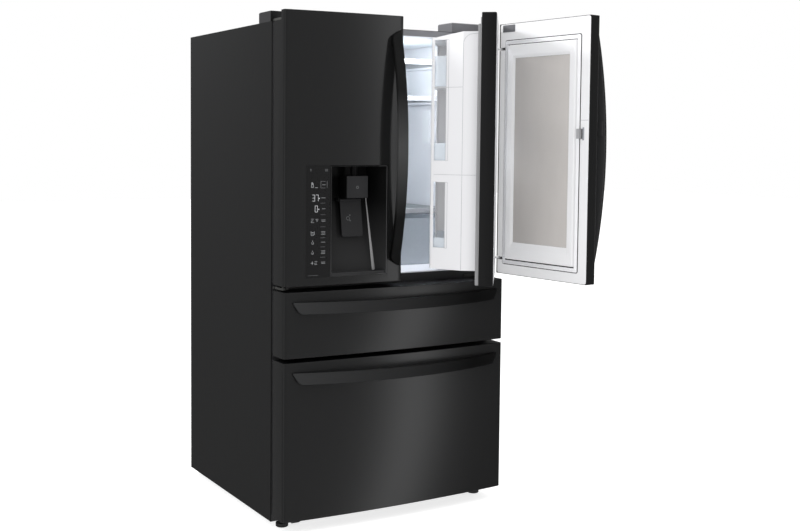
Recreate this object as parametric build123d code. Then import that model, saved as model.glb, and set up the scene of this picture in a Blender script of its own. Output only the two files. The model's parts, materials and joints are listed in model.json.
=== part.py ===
"""French door refrigerator: four doors and drawers, the right door with an outer access door.

Millimetres, +Z up. X runs to the right, Y to the back, and the front faces -Y. The origin is on
the floor under the middle of the cabinet's front face. Both right doors stand open at rest.
"""
from build123d import *
import math
import os

os.makedirs("parts", exist_ok=True)

# ---- Cabinet ----
case_width = 908.0
case_depth = 746.0
case_bottom = 24.0
wrapper_t = 1.5
liner_t = 2.0
side_wall = 50.0
rear_wall = 62.0
ceiling_wall = 26.0
floor_wall = 66.0
partition_t = 53.0
rail_t = 2.0
rail_w = 23.0
flange_lip = 4.0

# ---- Machine compartment, low at the back ----
machine_height = 226.0
machine_depth = 244.0
step_wall = 56.0

# ---- Fronts, from the bottom up ----
freezer_front_z = 46.0
freezer_front_h = 545.0
drawer_gap = 14.5
middle_front_h = 224.5
hinge_gap = 19.5
door_h = 922.5
fridge_floor_rise = 15.5
middle_floor_rise = 22.5

# ---- Door shell ----
door_over_case = 32.0
front_depth = 112.7
front_bulge = 19.7
door_standoff = 12.0
skin_t = 1.2
panel_t = 4.0
skin_corner = 9.0
centre_gap = 4.0
gasket_w = 14.0
seal_gap = 0.3
skin_fit = 0.3

# ---- Main door hinges ----
hinge_inset = 19.6
hinge_forward = 49.0
hinge_pin_r = 5.0
running_gap = 0.05
arm_half_w = 10.0
arm_t = 8.0
notch_drop = 34.0
notch_half_w = 16.0
arm_gap = 3.0
pin_reach = 34.0
bracket_reach_in = 113.0
bracket_back = 70.0
cover_w = 169.0
cover_y0 = 16.0
cover_y1 = 107.0
cover_h = 37.0
cover_t = 2.5

# ---- Open angles at rest ----
right_door_open = 52.4
outer_door_open = 44.3

# ---- Right door: frame, bin case and outer door ----
frame_t = 50.0
outer_gap = 4.0
outer_corner = 12.0
frame_rim = 58.0
case_rim = 36.0
case_side_gap = 8.0
bin_case_y = 160.0
bin_case_wall = 3.0
bin_case_low = 50.0
bin_case_top_drop = 80.0
bin_case_slope_y = 50.0
bin_case_slope_h = 19.0
case_slant = 50.0
low_bin_shelf_rise = 376.5
high_bin_shelf_rise = 674.5
window_y0 = 108.0
window_back = 12.0
low_window_rise = 74.0
low_window_drop = 26.0
high_window_rise = 48.0
high_window_drop = 3.0
back_window_side = 30.0
basket_h = 105.0
basket_wall = 2.5
basket_gap = 4.0
basket_front = 20.0
outer_gasket_side = 42.5
outer_gasket_top = 63.0
outer_gasket_bottom = 39.5
glass_side = 50.0
glass_top = 65.0
glass_bottom = 82.0
glass_t = 3.0
latch_x = 36.0
latch_rise = 519.5
latch_h = 34.0
latch_w = 6.0
latch_reach = 16.0
latch_lip = 4.0
latch_travel = 3.0
latch_clear = 2.0
latch_root_t = 5.0
latch_wall = 2.0
outer_pin_r = 4.0
outer_pin_len = 14.0
outer_slot_len = 26.0

# ---- Handles: bowed straps ----
strap_w = 40.0
strap_t = 9.0
strap_proud = 63.0
strap_end_proud = 10.0
door_strap_in = 18.0
door_strap_low = 53.5
door_strap_high = 47.0
drawer_strap_end = 34.0
drawer_strap_drop = 33.0
foot_len = 30.0
foot_inset = 5.0
foot_gap = 0.2
end_slant = 22.0
button_h = 52.0
button_w = 16.0
button_t = 6.0
button_proud = 3.0
button_travel = 2.0
button_rise = 538.5

# ---- Dispenser ----
dispenser_side = 79.0
dispenser_in = 63.0
dispenser_rise = 27.5
dispenser_h = 380.0
panel_w = 90.0
bezel_t = 6.0
bezel_fit = 0.3
recess_rim = 4.0
recess_depth_top = 83.0
recess_depth_low = 46.0
recess_knee = 115.0
recess_flare = 0.41
recess_wall = 2.5
chute_w = 86.0
chute_h = 76.0
chute_set_back = 15.0
nozzle_r = 12.0
paddle_w = 83.0
paddle_h = 128.0
paddle_t = 5.0
paddle_off = 16.0
paddle_pin_r = 2.5
tray_h = 9.0
tray_gap = 0.3

# ---- Left door's inner side ----
dyke_h = 30.0
dyke_t = 3.0
dyke_gap = 44.0
ice_box_h = 385.0
ice_box_reach = 140.0
ice_wall = 14.0
bin_h = 95.0
bin_reach = 125.0
bin_wall = 2.5
low_bin_rise = 55.5
high_bin_rise = 250.5
flipper_w = 56.0
flipper_t = 17.0
flipper_x0 = -30.0
flipper_end_gap = 13.0
flipper_pin_r = 2.5
flipper_pin_reach = 16.0
flipper_arm_r = 5.0
flipper_arm_h = 24.0
flipper_arm_in = 80.0

# ---- Fridge compartment ----
shelf_front = 185.0
shelf_back_gap = 44.0
shelf_glass_t = 4.0
shelf_trim_h = 18.0
shelf_trim_t = 12.0
shelf_trim_rise = 6.0
shelf_side_t = 4.0
lug_reach = 12.0
lug_h = 8.0
lug_len = 320.0
lug_y = 60.0
slide_gap = 0.3
top_shelf_drop = 69.0
middle_shelf_drop = 208.0
low_shelf_drop = 414.0
crisper_h = 179.0
crisper_cover_rise = 211.0
crisper_wall = 3.0
crisper_gap = 5.0
duct_w = 300.0
duct_t = 20.0
duct_slots = 7
lamp_w = 160.0
lamp_d = 60.0
lamp_front = 175.0
lamp_t = 8.0
lamp_wall_drop = 384.0
lamp_wall_h = 130.0
lamp_wall_w = 50.0
filter_in = 60.0
filter_front = 330.0
filter_r = 27.0
filter_saddle_w = 30.0

# ---- Drawers ----
box_wall = 3.0
box_side_gap = 19.0
box_floor_gap = 12.0
middle_box_back_gap = 136.0
middle_box_top_gap = 32.0
freezer_box_back_gap = 53.0
freezer_box_top_gap = 73.0
tray_depth = 240.0
tray_drop = 70.0
rail_back_gap = 100.0
rail_h = 36.0
rail_depth = 12.0
rail_wall = 2.0
rail_gap = 0.4
rail_y0 = 24.0

# ---- Running gear ----
leg_in = 48.0
leg_y = 11.0
leg_rod_r = 6.0
leg_foot_r = 22.0
leg_foot_h = 13.0
leg_reach = 46.0
roller_in = 100.0
roller_w = 28.0
roller_r = 11.5
front_roller_lift = 1.0
front_roller_y = 14.0
rear_roller_in = 46.0
axle_r = 4.0
cheek_t = 2.5
cheek_w = 20.0

# ---- Cooling parts ----
evaporator_depth = 62.0
evaporator_side = 74.0
evaporator_fan_drop = 75.0
compressor_r = 78.0
compressor_h = 150.0
compressor_in = 169.0
mount_h = 14.0
mount_r = 12.0
fin_t = 0.8
coil_tube_r = 4.0
coil_side = 44.0
coil_w = 240.0
coil_h = 160.0
coil_depth = 140.0
coil_lift = 20.0
coil_foot_w = 8.0
fan_r = 62.0
fan_hub_r = 18.0
fan_blades = 7
fan_w = 22.0
motor_r = 24.0
motor_len = 36.0
motor_shaft_r = 3.0
vent_slots = 9
inlet_r = 4.8
inlet_len = 15.0
inlet_hole_r = 20.0

# ---- Worked out from the sizes above ----
half = case_width / 2
inside_x = half - side_wall
inside_back = case_depth - rear_wall
door_z0 = freezer_front_z + freezer_front_h + drawer_gap + middle_front_h + hinge_gap
door_top = door_z0 + door_h
case_top = door_top - door_over_case
middle_front_z = freezer_front_z + freezer_front_h + drawer_gap
fridge_floor = door_z0 + fridge_floor_rise
fridge_ceiling = case_top - ceiling_wall
middle_ceiling = fridge_floor - partition_t
middle_floor = middle_front_z + middle_floor_rise
freezer_ceiling = middle_floor - partition_t
freezer_floor = case_bottom + floor_wall
machine_top = case_bottom + machine_height
machine_front = case_depth - machine_depth
step_y = machine_front - step_wall
step_z = machine_top + rail_w + rail_depth
front_radius = (half**2 + front_bulge**2) / (2 * front_bulge)
hinge_x = half - hinge_inset
hinge_y = -hinge_forward
free_x = centre_gap / 2
frame_front = -door_standoff - frame_t
outer_back = frame_front - outer_gap
outer_hinge_x = half - outer_corner
outer_hinge_y = outer_back - outer_corner
notch_z = door_top - notch_drop
arm_z = notch_z + arm_gap
roller_z = roller_r
glass_x0 = free_x + outer_gasket_side + glass_side
glass_x1 = half - outer_gasket_side - glass_side
bin_case_z0 = door_z0 + bin_case_low
bin_case_z1 = door_top - bin_case_top_drop
bin_shelves = (door_z0 + low_bin_shelf_rise, door_z0 + high_bin_shelf_rise)
latch_z = door_z0 + latch_rise
button_z = door_z0 + button_rise
dispenser_x0 = dispenser_side - half
dispenser_x1 = -dispenser_in
dispenser_z0 = door_z0 + dispenser_rise
bin_levels = (door_z0 + low_bin_rise, door_z0 + high_bin_rise)
right_shelves = (fridge_ceiling - top_shelf_drop, fridge_ceiling - middle_shelf_drop)
left_shelves = (fridge_ceiling - middle_shelf_drop, fridge_ceiling - low_shelf_drop)
crisper_top = fridge_floor + crisper_h
crisper_cover_z = fridge_floor + crisper_cover_rise
lamp_wall_z = fridge_ceiling - lamp_wall_drop
middle_box_z = middle_floor + box_floor_gap
middle_box_h = middle_ceiling - middle_box_top_gap - middle_box_z
middle_box_depth = inside_back - middle_box_back_gap + door_standoff
freezer_box_z = freezer_floor + box_floor_gap
freezer_box_h = freezer_ceiling - freezer_box_top_gap - freezer_box_z
freezer_box_depth = step_y - freezer_box_back_gap + door_standoff
rail_len = inside_back - rail_back_gap - rail_y0
leg_x = half - leg_in
roller_x = half - roller_in
rear_roller_y = case_depth - rear_roller_in
evaporator_x = inside_x - evaporator_side
evaporator_fan_z = freezer_ceiling - evaporator_fan_drop
compressor_x = inside_x - compressor_in


# ---- Helpers ----
def block(x0, x1, y0, y1, z0, z1):
    """A box between two corners."""
    return Pos((x0 + x1) / 2, (y0 + y1) / 2, (z0 + z1) / 2) * Box(x1 - x0, y1 - y0, z1 - z0)


def rod_x(x0, x1, y, z, r):
    """A round bar along X."""
    return Pos((x0 + x1) / 2, y, z) * Rot(0, 90, 0) * Cylinder(r, x1 - x0)


def rod_y(x, y0, y1, z, r):
    """A round bar along Y."""
    return Pos(x, (y0 + y1) / 2, z) * Rot(90, 0, 0) * Cylinder(r, y1 - y0)


def rod_z(x, y, z0, z1, r):
    """A round bar along Z."""
    return Pos(x, y, (z0 + z1) / 2) * Cylinder(r, z1 - z0)


def mirrored(shape):
    """The same shape on the other side of the cabinet's middle plane."""
    return shape.mirror(Plane.YZ)


def pair(shape):
    """A shape and its mirror image."""
    return [shape, mirrored(shape)]


def open_box(x0, x1, y0, y1, z0, z1, wall):
    """A bin with a floor and four walls, open at the top."""
    hollow = block(x0 + wall, x1 - wall, y0 + wall, y1 - wall, z0 + wall, z1 + wall)
    return block(x0, x1, y0, y1, z0, z1) - hollow


def ring(x0, x1, z0, z1, y0, y1, width):
    """A rectangular frame that lies in the XZ plane."""
    hole = block(x0 + width, x1 - width, y0 - 1, y1 + 1, z0 + width, z1 - width)
    return block(x0, x1, y0, y1, z0, z1) - hole


def front_profile(x0, x1, y_back, inset, back_corner=0.0):
    """Plan of a front panel: flat back, bowed front that all four fronts share."""
    wide = x1 - x0 - 2 * inset
    deep = front_depth + y_back
    bow = Pos(0, front_radius - front_depth) * Circle(front_radius - inset)
    plan = (Pos((x0 + x1) / 2, y_back - deep / 2) * Rectangle(wide, deep)) & bow
    plan = fillet(plan.vertices().sort_by(Axis.Y)[:2], skin_corner - inset)
    if back_corner:
        corner = plan.vertices().sort_by(Axis.Y)[-2:].sort_by(Axis.X)[-1]
        plan = fillet(corner, back_corner - inset)
    return plan


def front_block(x0, x1, z0, z1, y_back, inset=0.0, back_corner=0.0):
    """A solid front panel, drawn in by inset on every face but the back."""
    plan = front_profile(x0, x1, y_back, inset, back_corner)
    return Pos(0, 0, z0 + inset) * extrude(plan, z1 - z0 - 2 * inset)


def front_skin(x0, x1, z0, z1, y_back, back_corner=0.0):
    """The steel pan of a front: bowed face and four returns, open at the back."""
    outer = front_block(x0, x1, z0, z1, y_back, 0.0, back_corner)
    plan = front_profile(x0, x1, y_back - skin_t, skin_t, back_corner)
    inner = Pos(0, 0, z0 + skin_t) * extrude(plan, z1 - z0 - 2 * skin_t)
    mouth = block(x0 + skin_t, x1 - max(skin_t, back_corner), y_back - skin_t - 1, y_back + 1,
                  z0 + skin_t, z1 - skin_t)
    return outer - inner - mouth


def bow_slab(x0, x1, z0, z1, near, far):
    """A curved plate that follows the bowed front between two depths behind it."""
    high = z1 - z0
    centre = Pos(0, front_radius - front_depth, (z0 + z1) / 2)
    slab = centre * Cylinder(front_radius - near, high) - centre * Cylinder(front_radius - far, high)
    return slab & block(x0, x1, -front_depth - 1, 0, z0, z1)


def front_y(x, inset=0.0):
    """Y of the bowed front at a given X."""
    centre_y = front_radius - front_depth
    return centre_y - math.sqrt((front_radius - inset) ** 2 - x * x)


def swing(shape, x, y, angle):
    """Turn a shape about a vertical axis."""
    return shape.rotate(Axis((x, y, 0), (0, 0, 1)), angle)


def inner_door_at_rest(shape):
    """Carry a right door piece from closed to its rest angle."""
    return swing(shape, hinge_x, hinge_y, right_door_open)


def outer_door_at_rest(shape):
    """Carry an outer door piece from closed to its rest angle."""
    return inner_door_at_rest(swing(shape, outer_hinge_x, outer_hinge_y, outer_door_open))


def export(name, shapes):
    """Write one node, made of one or more solids."""
    solids = [s for shape in shapes for s in shape.solids()]
    whole = solids[0] if len(solids) == 1 else Compound(children=solids)
    export_step(whole, f"parts/{name}.step")


# ---- Cabinet shell ----
def case_wrapper():
    side = block(half - wrapper_t, half, 0, case_depth, case_bottom, case_top)
    inner = half - wrapper_t
    roof = block(-inner, inner, 0, case_depth, case_top - wrapper_t, case_top)
    return pair(side) + [roof]


def rear_panel():
    inner = half - wrapper_t
    return [block(-inner, inner, case_depth - wrapper_t, case_depth, machine_top,
                  case_top - wrapper_t)]


def compressor_cover():
    inner = half - wrapper_t
    cover = block(-inner, inner, case_depth - wrapper_t, case_depth,
                  case_bottom + wrapper_t, machine_top)
    pitch = (machine_height - 2 * rail_w) / vent_slots
    for side in (-1, 1):
        for i in range(vent_slots):
            z = case_bottom + rail_w + (i + 0.5) * pitch
            x = side * inside_x * 0.55
            cover -= block(x - 100, x + 100, case_depth - 10, case_depth + 10, z - 4, z + 4)
    x, z = inlet_place()
    cover -= rod_y(x, case_depth - 10, case_depth + 10, z, inlet_hole_r)
    gland_y = case_depth - wrapper_t
    gland = rod_y(-x, gland_y - 12, case_depth, z, 11) - rod_y(-x, gland_y - 20, case_depth + 5, z, 5)
    cover -= rod_y(-x, case_depth - 10, case_depth + 10, z, 11)
    return [cover + gland]


def inlet_place():
    """X and Z of the water inlet in the machine compartment's cover."""
    return -50.0, case_bottom + machine_height * 0.62


def roller_cheeks(x, y, z):
    """Two cheeks and an axle that carry one roller under the base pan."""
    inner = roller_w / 2 + 0.5
    solid = rod_x(x - inner - cheek_t, x + inner + cheek_t, y, z, axle_r)
    for side in (-1, 1):
        x0 = x + side * (inner + cheek_t / 2)
        solid += block(x0 - cheek_t / 2, x0 + cheek_t / 2, y - cheek_w / 2, y + cheek_w / 2,
                       z - axle_r - 2, case_bottom + wrapper_t)
    return solid


def base_pan():
    inner = half - wrapper_t
    pan = block(-inner, inner, rail_t, case_depth - wrapper_t, case_bottom, case_bottom + wrapper_t)
    for side in (-1, 1):
        pan += roller_cheeks(side * roller_x, front_roller_y, roller_z + front_roller_lift / 2)
        pan += roller_cheeks(side * roller_x, rear_roller_y, roller_z)
        pan -= rod_z(side * leg_x, leg_y, 0, case_bottom + 10, leg_rod_r + running_gap)
    return [pan]


def roller(x, y, z, r):
    return rod_x(x - roller_w / 2, x + roller_w / 2, y, z, r) - rod_x(
        x - roller_w, x + roller_w, y, z, axle_r + running_gap)


def front_rollers():
    r = roller_r - front_roller_lift / 2
    return pair(roller(roller_x, front_roller_y, roller_z + front_roller_lift / 2, r))


def rear_rollers():
    return pair(roller(roller_x, rear_roller_y, roller_z, roller_r))


def levelling_leg(side):
    foot = rod_z(0, 0, 0, leg_foot_h, leg_foot_r)
    foot = chamfer(foot.edges().group_by(Axis.Z)[0], 2)
    foot += extrude(RegularPolygon(leg_rod_r + 5, 6), leg_foot_h + 6)
    foot += rod_z(0, 0, 0, leg_reach, leg_rod_r)
    return [Pos(side * leg_x, leg_y, 0) * foot]


def case_insulation():
    outer = half - wrapper_t
    inner = inside_x + liner_t
    low = case_bottom + wrapper_t
    high = case_top - wrapper_t
    back = inside_back + liner_t
    holes = pair(rod_z(leg_x, leg_y, low - 1, leg_reach + 4, leg_rod_r + 2))
    walls = pair(block(inner, outer, rail_t, back, low, high))
    slabs = [
        block(-inner, inner, rail_t, back, fridge_ceiling + liner_t, high),
        block(-outer, outer, back, case_depth - wrapper_t, machine_top, high),
        block(-inner, inner, rail_t, back, middle_ceiling + liner_t, fridge_floor - liner_t),
        block(-inner, inner, rail_t, back, freezer_ceiling + liner_t, middle_floor - liner_t),
        block(-inner, inner, rail_t, machine_front, low, freezer_floor - liner_t),
        block(-inner, inner, step_y + liner_t, machine_front, freezer_floor - liner_t, machine_top),
        block(-inner, inner, step_y + liner_t, back, machine_top, step_z - liner_t),
    ]
    return [slab - holes[0] - holes[1] for slab in walls + slabs]


def tub(z0, z1, back, wall):
    """A compartment liner: a box open at the front."""
    return block(-inside_x - wall, inside_x + wall, rail_t, back + wall, z0 - wall, z1 + wall) - block(
        -inside_x, inside_x, -1, back, z0, z1)


def fridge_liner():
    shell = tub(fridge_floor, fridge_ceiling, inside_back, liner_t)
    lip_x = half - rail_w
    flange = block(-lip_x, lip_x, 0, rail_t, fridge_floor - flange_lip, case_top - rail_w)
    flange -= block(-inside_x, inside_x, -1, rail_t + 1, fridge_floor, fridge_ceiling)
    for (x0, x1), z in shelf_places():
        top = z + shelf_trim_rise - shelf_trim_h
        lug = block(inside_x - lug_reach, inside_x + liner_t / 2, shelf_front + lug_y,
                    shelf_front + lug_y + lug_len, top - lug_h, top)
        if x1 > inside_x / 2:
            shell += lug
        if x0 < -inside_x / 2:
            shell += mirrored(lug)
    return [shell + flange]


def drawer_liners():
    middle = tub(middle_floor, middle_ceiling, inside_back, liner_t)
    freezer = tub(freezer_floor, freezer_ceiling, inside_back, liner_t)
    freezer -= block(-half, half, step_y + liner_t, case_depth, 0, step_z - liner_t)
    freezer += block(-inside_x, inside_x, step_y, step_y + liner_t, freezer_floor, step_z)
    freezer += block(-inside_x, inside_x, step_y, inside_back, step_z - liner_t, step_z)
    return [middle, freezer]


def front_rails():
    inner_w = half - wrapper_t
    lip_x = half - rail_w
    low = case_bottom + wrapper_t
    lip_low = fridge_floor - flange_lip
    stile_high = block(lip_x, inner_w, 0, rail_t, lip_low, case_top - wrapper_t)
    stile_low = block(inside_x, inner_w, 0, rail_t, low, lip_low)
    rails = [
        block(-lip_x, lip_x, 0, rail_t, case_top - rail_w, case_top - wrapper_t),
        block(-inside_x, inside_x, 0, rail_t, middle_ceiling, lip_low),
        block(-inside_x, inside_x, 0, rail_t, freezer_ceiling, middle_floor),
        block(-inside_x, inside_x, 0, rail_t, low, freezer_floor),
    ]
    return pair(stile_high) + pair(stile_low) + rails


# ---- Hinges ----
def door_hinges():
    """Top and middle brackets with their pins, for both doors."""
    plate_x0 = half - cover_w + cover_t + 4
    top = block(plate_x0, half - cover_t - 4, cover_y0 + cover_t + 4, bracket_back, case_top,
                case_top + 4)
    top += block(hinge_x - arm_half_w, hinge_x + arm_half_w, hinge_y, bracket_back, arm_z,
                 arm_z + arm_t)
    top += block(hinge_x - arm_half_w, hinge_x + arm_half_w, cover_y0 + cover_t + 4, bracket_back,
                 case_top, arm_z + arm_t)
    top += rod_z(hinge_x, hinge_y, arm_z, arm_z + arm_t, arm_half_w)
    top += rod_z(hinge_x, hinge_y, notch_z - pin_reach, arm_z, hinge_pin_r)
    bracket_z = door_z0 - hinge_gap + 4
    low = block(half - bracket_reach_in, half - 4, -6, 0, bracket_z, bracket_z + arm_t)
    low += block(hinge_x - 2 * arm_half_w, hinge_x + arm_half_w, hinge_y, 0, bracket_z,
                 bracket_z + arm_t)
    low += rod_z(hinge_x, hinge_y, bracket_z, bracket_z + arm_t, arm_half_w)
    low += rod_z(hinge_x, hinge_y, bracket_z + arm_t, door_z0 + pin_reach, hinge_pin_r)
    return pair(top) + pair(low)


def hinge_covers():
    x0 = half - cover_w
    shell = block(x0, half, cover_y0, cover_y1, case_top, case_top + cover_h)
    shell = fillet(shell.edges().group_by(Axis.Z)[-1], 5)
    shell -= block(x0 + cover_t, half - cover_t, cover_y0 + cover_t, cover_y1 - cover_t,
                   case_top - 1, case_top + cover_h - cover_t)
    shell -= block(hinge_x - arm_half_w - 1, hinge_x + arm_half_w + 1, cover_y0 - 1,
                   cover_y0 + cover_t + 1, case_top - 1, arm_z + arm_t + 1)
    return pair(shell)


def hinge_notch(y_front):
    """Space that a top hinge arm sweeps at a door's rear corner, on the right."""
    return block(hinge_x - notch_half_w, half + 1, y_front, -door_standoff + 1, notch_z,
                 door_top + 1)


def hinge_bores():
    """Bores for the top and bottom pins of a right-hand door."""
    r = hinge_pin_r + running_gap
    top = rod_z(hinge_x, hinge_y, notch_z - pin_reach - 2, door_top + 1, r)
    low = rod_z(hinge_x, hinge_y, door_z0 - 1, door_z0 + pin_reach + 2, r)
    return top + low


# ---- Fridge compartment ----
def half_width(side, gap):
    """X range of one side of the fridge compartment."""
    x0, x1 = gap / 2, inside_x - gap
    return (x0, x1) if side > 0 else (-x1, -x0)


def shelf_places():
    """X range and height of each glass shelf."""
    places = [(half_width(1, crisper_gap), z) for z in right_shelves]
    places += [(half_width(-1, crisper_gap), z) for z in left_shelves]
    wide = inside_x - crisper_gap
    return places + [((-wide, wide), crisper_cover_z)]


def shelf_glass():
    back = inside_back - shelf_back_gap
    return [block(x0 + shelf_side_t, x1 - shelf_side_t, shelf_front + shelf_trim_t, back, z,
                  z + shelf_glass_t) for (x0, x1), z in shelf_places()]


def shelf_frames():
    """White front trim and two sides for each shelf; an inner side runs back to the air duct."""
    frames = []
    for (x0, x1), z in shelf_places():
        z0, z1 = z + shelf_trim_rise - shelf_trim_h, z + shelf_trim_rise
        trim = block(x0, x1, shelf_front, shelf_front + shelf_trim_t, z0, z1)
        for edge, inward in ((x0, 1), (x1, -1)):
            reach = shelf_back_gap if abs(edge) > inside_x / 2 else duct_t
            x = edge + inward * shelf_side_t / 2
            trim += block(x - shelf_side_t / 2, x + shelf_side_t / 2, shelf_front,
                          inside_back - reach, z0, z1)
            x = edge + inward * 1.5 * shelf_side_t
            trim += block(x - shelf_side_t, x + shelf_side_t, shelf_front + shelf_trim_t,
                          inside_back - shelf_back_gap, z - shelf_side_t, z)
        frames.append(trim)
    return frames


def crisper(side):
    x0, x1 = half_width(side, crisper_gap)
    pan = open_box(x0, x1, shelf_front + 4, inside_back - shelf_back_gap, fridge_floor + slide_gap,
                   crisper_top, crisper_wall)
    pan += block(x0 + 90, x1 - 90, shelf_front - 8, shelf_front + 6, crisper_top - 26, crisper_top - 8)
    return [pan]


def air_duct_panel():
    """The fridge's rear air duct with its outlets, and the freezer's evaporator cover."""
    fridge = block(-duct_w / 2, duct_w / 2, inside_back - duct_t, inside_back,
                   crisper_cover_z + 30, fridge_ceiling - 30)
    fridge = fillet(fridge.edges().filter_by(Axis.Z).group_by(Axis.Y)[0], 8)
    pitch = (fridge_ceiling - crisper_cover_z - 120) / duct_slots
    for i in range(duct_slots):
        z = crisper_cover_z + 70 + (i + 0.5) * pitch
        for side in (-1, 1):
            x = side * duct_w * 0.32
            fridge -= block(x - 30, x + 30, inside_back - duct_t - 1, inside_back - duct_t + 8,
                            z - 5, z + 5)
    cover_y = inside_back - evaporator_depth - 12
    freezer = block(-inside_x + 6, inside_x - 6, cover_y, cover_y + 4, step_z, freezer_ceiling)
    freezer -= rod_y(0, cover_y - 5, cover_y + 10, evaporator_fan_z, fan_r + 6)
    return [fridge, freezer]


def lamp_covers():
    z1 = fridge_ceiling
    ceiling = block(-lamp_w / 2, lamp_w / 2, lamp_front, lamp_front + lamp_d, z1 - lamp_t, z1)
    ceiling = fillet(ceiling.edges().filter_by(Axis.Z), 10)
    side = block(inside_x - lamp_t / 2, inside_x, shelf_front + 150, shelf_front + 150 + lamp_wall_w,
                 lamp_wall_z, lamp_wall_z + lamp_wall_h)
    return [ceiling] + pair(side)


def water_valve_and_filter():
    """Inlet valve in the machine compartment, and the filter cartridge inside the fridge."""
    x, z = inlet_place()
    y1 = case_depth - wrapper_t
    body = block(x - 22, x + 22, y1 - 70, y1 - inlet_len, z - 20, z + 26)
    body += block(x - 12, x + 12, y1 - 70, y1 - 50, case_bottom + wrapper_t, z - 20)
    body += rod_y(x, y1 - inlet_len, y1, z, inlet_r)
    filter_z = fridge_ceiling - filter_r - 7
    x = -inside_x + filter_in
    cartridge = rod_y(x, filter_front, inside_back, filter_z, filter_r)
    cartridge += block(x - filter_saddle_w / 2, x + filter_saddle_w / 2, filter_front, inside_back,
                       filter_z + filter_r - 7, fridge_ceiling)
    return [body, cartridge]


# ---- Cooling parts ----
def compressor():
    z0 = case_bottom + wrapper_t + mount_h
    y = machine_front + machine_depth / 2
    shell = Pos(compressor_x, y, z0 + compressor_h / 2) * Cylinder(compressor_r, compressor_h)
    shell = fillet(shell.edges().filter_by(GeomType.CIRCLE), 30)
    feet = block(compressor_x - 95, compressor_x + 95, y - 70, y + 70, z0, z0 + 4)
    shell += feet
    mounts = [rod_z(compressor_x + dx, y + dy, case_bottom + wrapper_t, z0, mount_r)
              for dx in (-80, 80) for dy in (-55, 55)]
    return [shell] + mounts


def finned_coil(x0, x1, y0, y1, z0, z1, rows, columns, fins):
    """Straight tubes through a stack of fins."""
    coil = None
    for i in range(rows):
        for j in range(columns):
            y = y0 + (j + 0.5) * (y1 - y0) / columns
            z = z0 + (i + 0.5) * (z1 - z0) / rows
            tube = rod_x(x0, x1, y, z, coil_tube_r)
            coil = tube if coil is None else coil + tube
    for k in range(fins):
        x = x0 + (k + 0.5) * (x1 - x0) / fins
        coil += block(x - fin_t, x + fin_t, y0, y1, z0, z1)
    return coil


def fan_motor(x, y, z):
    """A motor with its shaft along +Y, drawn about a point at the motor's front."""
    body = rod_y(x, y, y + motor_len, z, motor_r)
    return body + rod_y(x, y - fan_w - 4, y, z, motor_shaft_r)


def condenser_fan_place():
    return 60.0, machine_front + 90.0, case_bottom + machine_height / 2


def evaporator_fan_place():
    return 0.0, inside_back - evaporator_depth - 12 + 6, evaporator_fan_z


def coils_and_fan_motors():
    low = case_bottom + wrapper_t
    x0 = coil_side - inside_x
    x1 = x0 + coil_w
    y0 = machine_front + 50
    y1 = y0 + coil_depth
    z0 = low + coil_lift
    condenser = finned_coil(x0, x1, y0, y1, z0, z0 + coil_h, 5, 4, 16)
    for x in (x0 + 6, x1 - 6 - coil_foot_w):
        condenser += block(x, x + coil_foot_w, y0, y1, low, z0 + 2)
    back = inside_back
    x1 = evaporator_x
    evaporator = finned_coil(-x1, x1, back - evaporator_depth + 22, back - 2, step_z + coil_lift,
                             evaporator_fan_z - 90, 4, 2, 22)
    for x in (10 - x1, x1 - 10):
        evaporator += block(x - 5, x + 5, back - coil_lift, back, step_z, step_z + 2 * coil_lift)
    x, y, z = condenser_fan_place()
    hot_motor = fan_motor(x, y, z) + block(x - 12, x + 12, y + 6, y + 30, low, z - 10)
    x, y, z = evaporator_fan_place()
    cold_motor = fan_motor(x, y + fan_w, z) + block(
        x - 15, x + 15, y + fan_w + 20, back, z - 10, z + 10)
    return [condenser, evaporator, hot_motor, cold_motor]


def fan(x, y, z):
    """An axial fan whose hub runs on a motor shaft along Y, ahead of the point given."""
    y0, y1 = y - fan_w - 2, y - 2
    wheel = rod_y(x, y0, y1, z, fan_hub_r)
    for i in range(fan_blades):
        blade = Pos(0, 0, (fan_r + fan_hub_r) / 2 - 2) * Rot(0, 0, 35) * Box(
            26, 2, fan_r - fan_hub_r + 4)
        wheel += Pos(x, (y0 + y1) / 2, z) * Rot(0, i * 360 / fan_blades, 0) * blade
    wheel &= rod_y(x, y0, y1, z, fan_r)
    return [wheel - rod_y(x, y0 - 5, y1 + 5, z, motor_shaft_r + running_gap)]


def condenser_fan():
    return fan(*condenser_fan_place())


def evaporator_fan():
    x, y, z = evaporator_fan_place()
    return fan(x, y + fan_w, z)


def control_box():
    low = case_bottom + wrapper_t
    box = block(-inside_x + 4, -inside_x + 34, machine_front + 20, machine_front + 190, low + 20,
                low + 190)
    box = fillet(box.edges().filter_by(Axis.X), 6)
    return [box + block(-inside_x + 4, -inside_x + 30, machine_front + 30, machine_front + 180, low,
                        low + 22)]


# ---- Left door ----
def left_door_skin():
    skin = front_skin(-half, -free_x, door_z0, door_top, -door_standoff)
    skin -= mirrored(hinge_notch(-hinge_forward - 19))
    skin -= mirrored(hinge_bores())
    z1 = dispenser_z0 + dispenser_h
    skin -= block(dispenser_x0, dispenser_x1, -front_depth - 5, -door_standoff - 40, dispenser_z0, z1)
    return [skin]


def door_inner_panel(x0, x1, z0, z1, y_back):
    """A moulded inner panel with a shallow rim inside the steel pan."""
    gap = skin_t + skin_fit
    plate = block(x0 + gap, x1 - gap, y_back - panel_t, y_back, z0 + gap, z1 - gap)
    rim = ring(x0 + gap, x1 - gap, z0 + gap, z1 - gap, y_back - 16, y_back - panel_t, panel_t)
    return plate + rim


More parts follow.
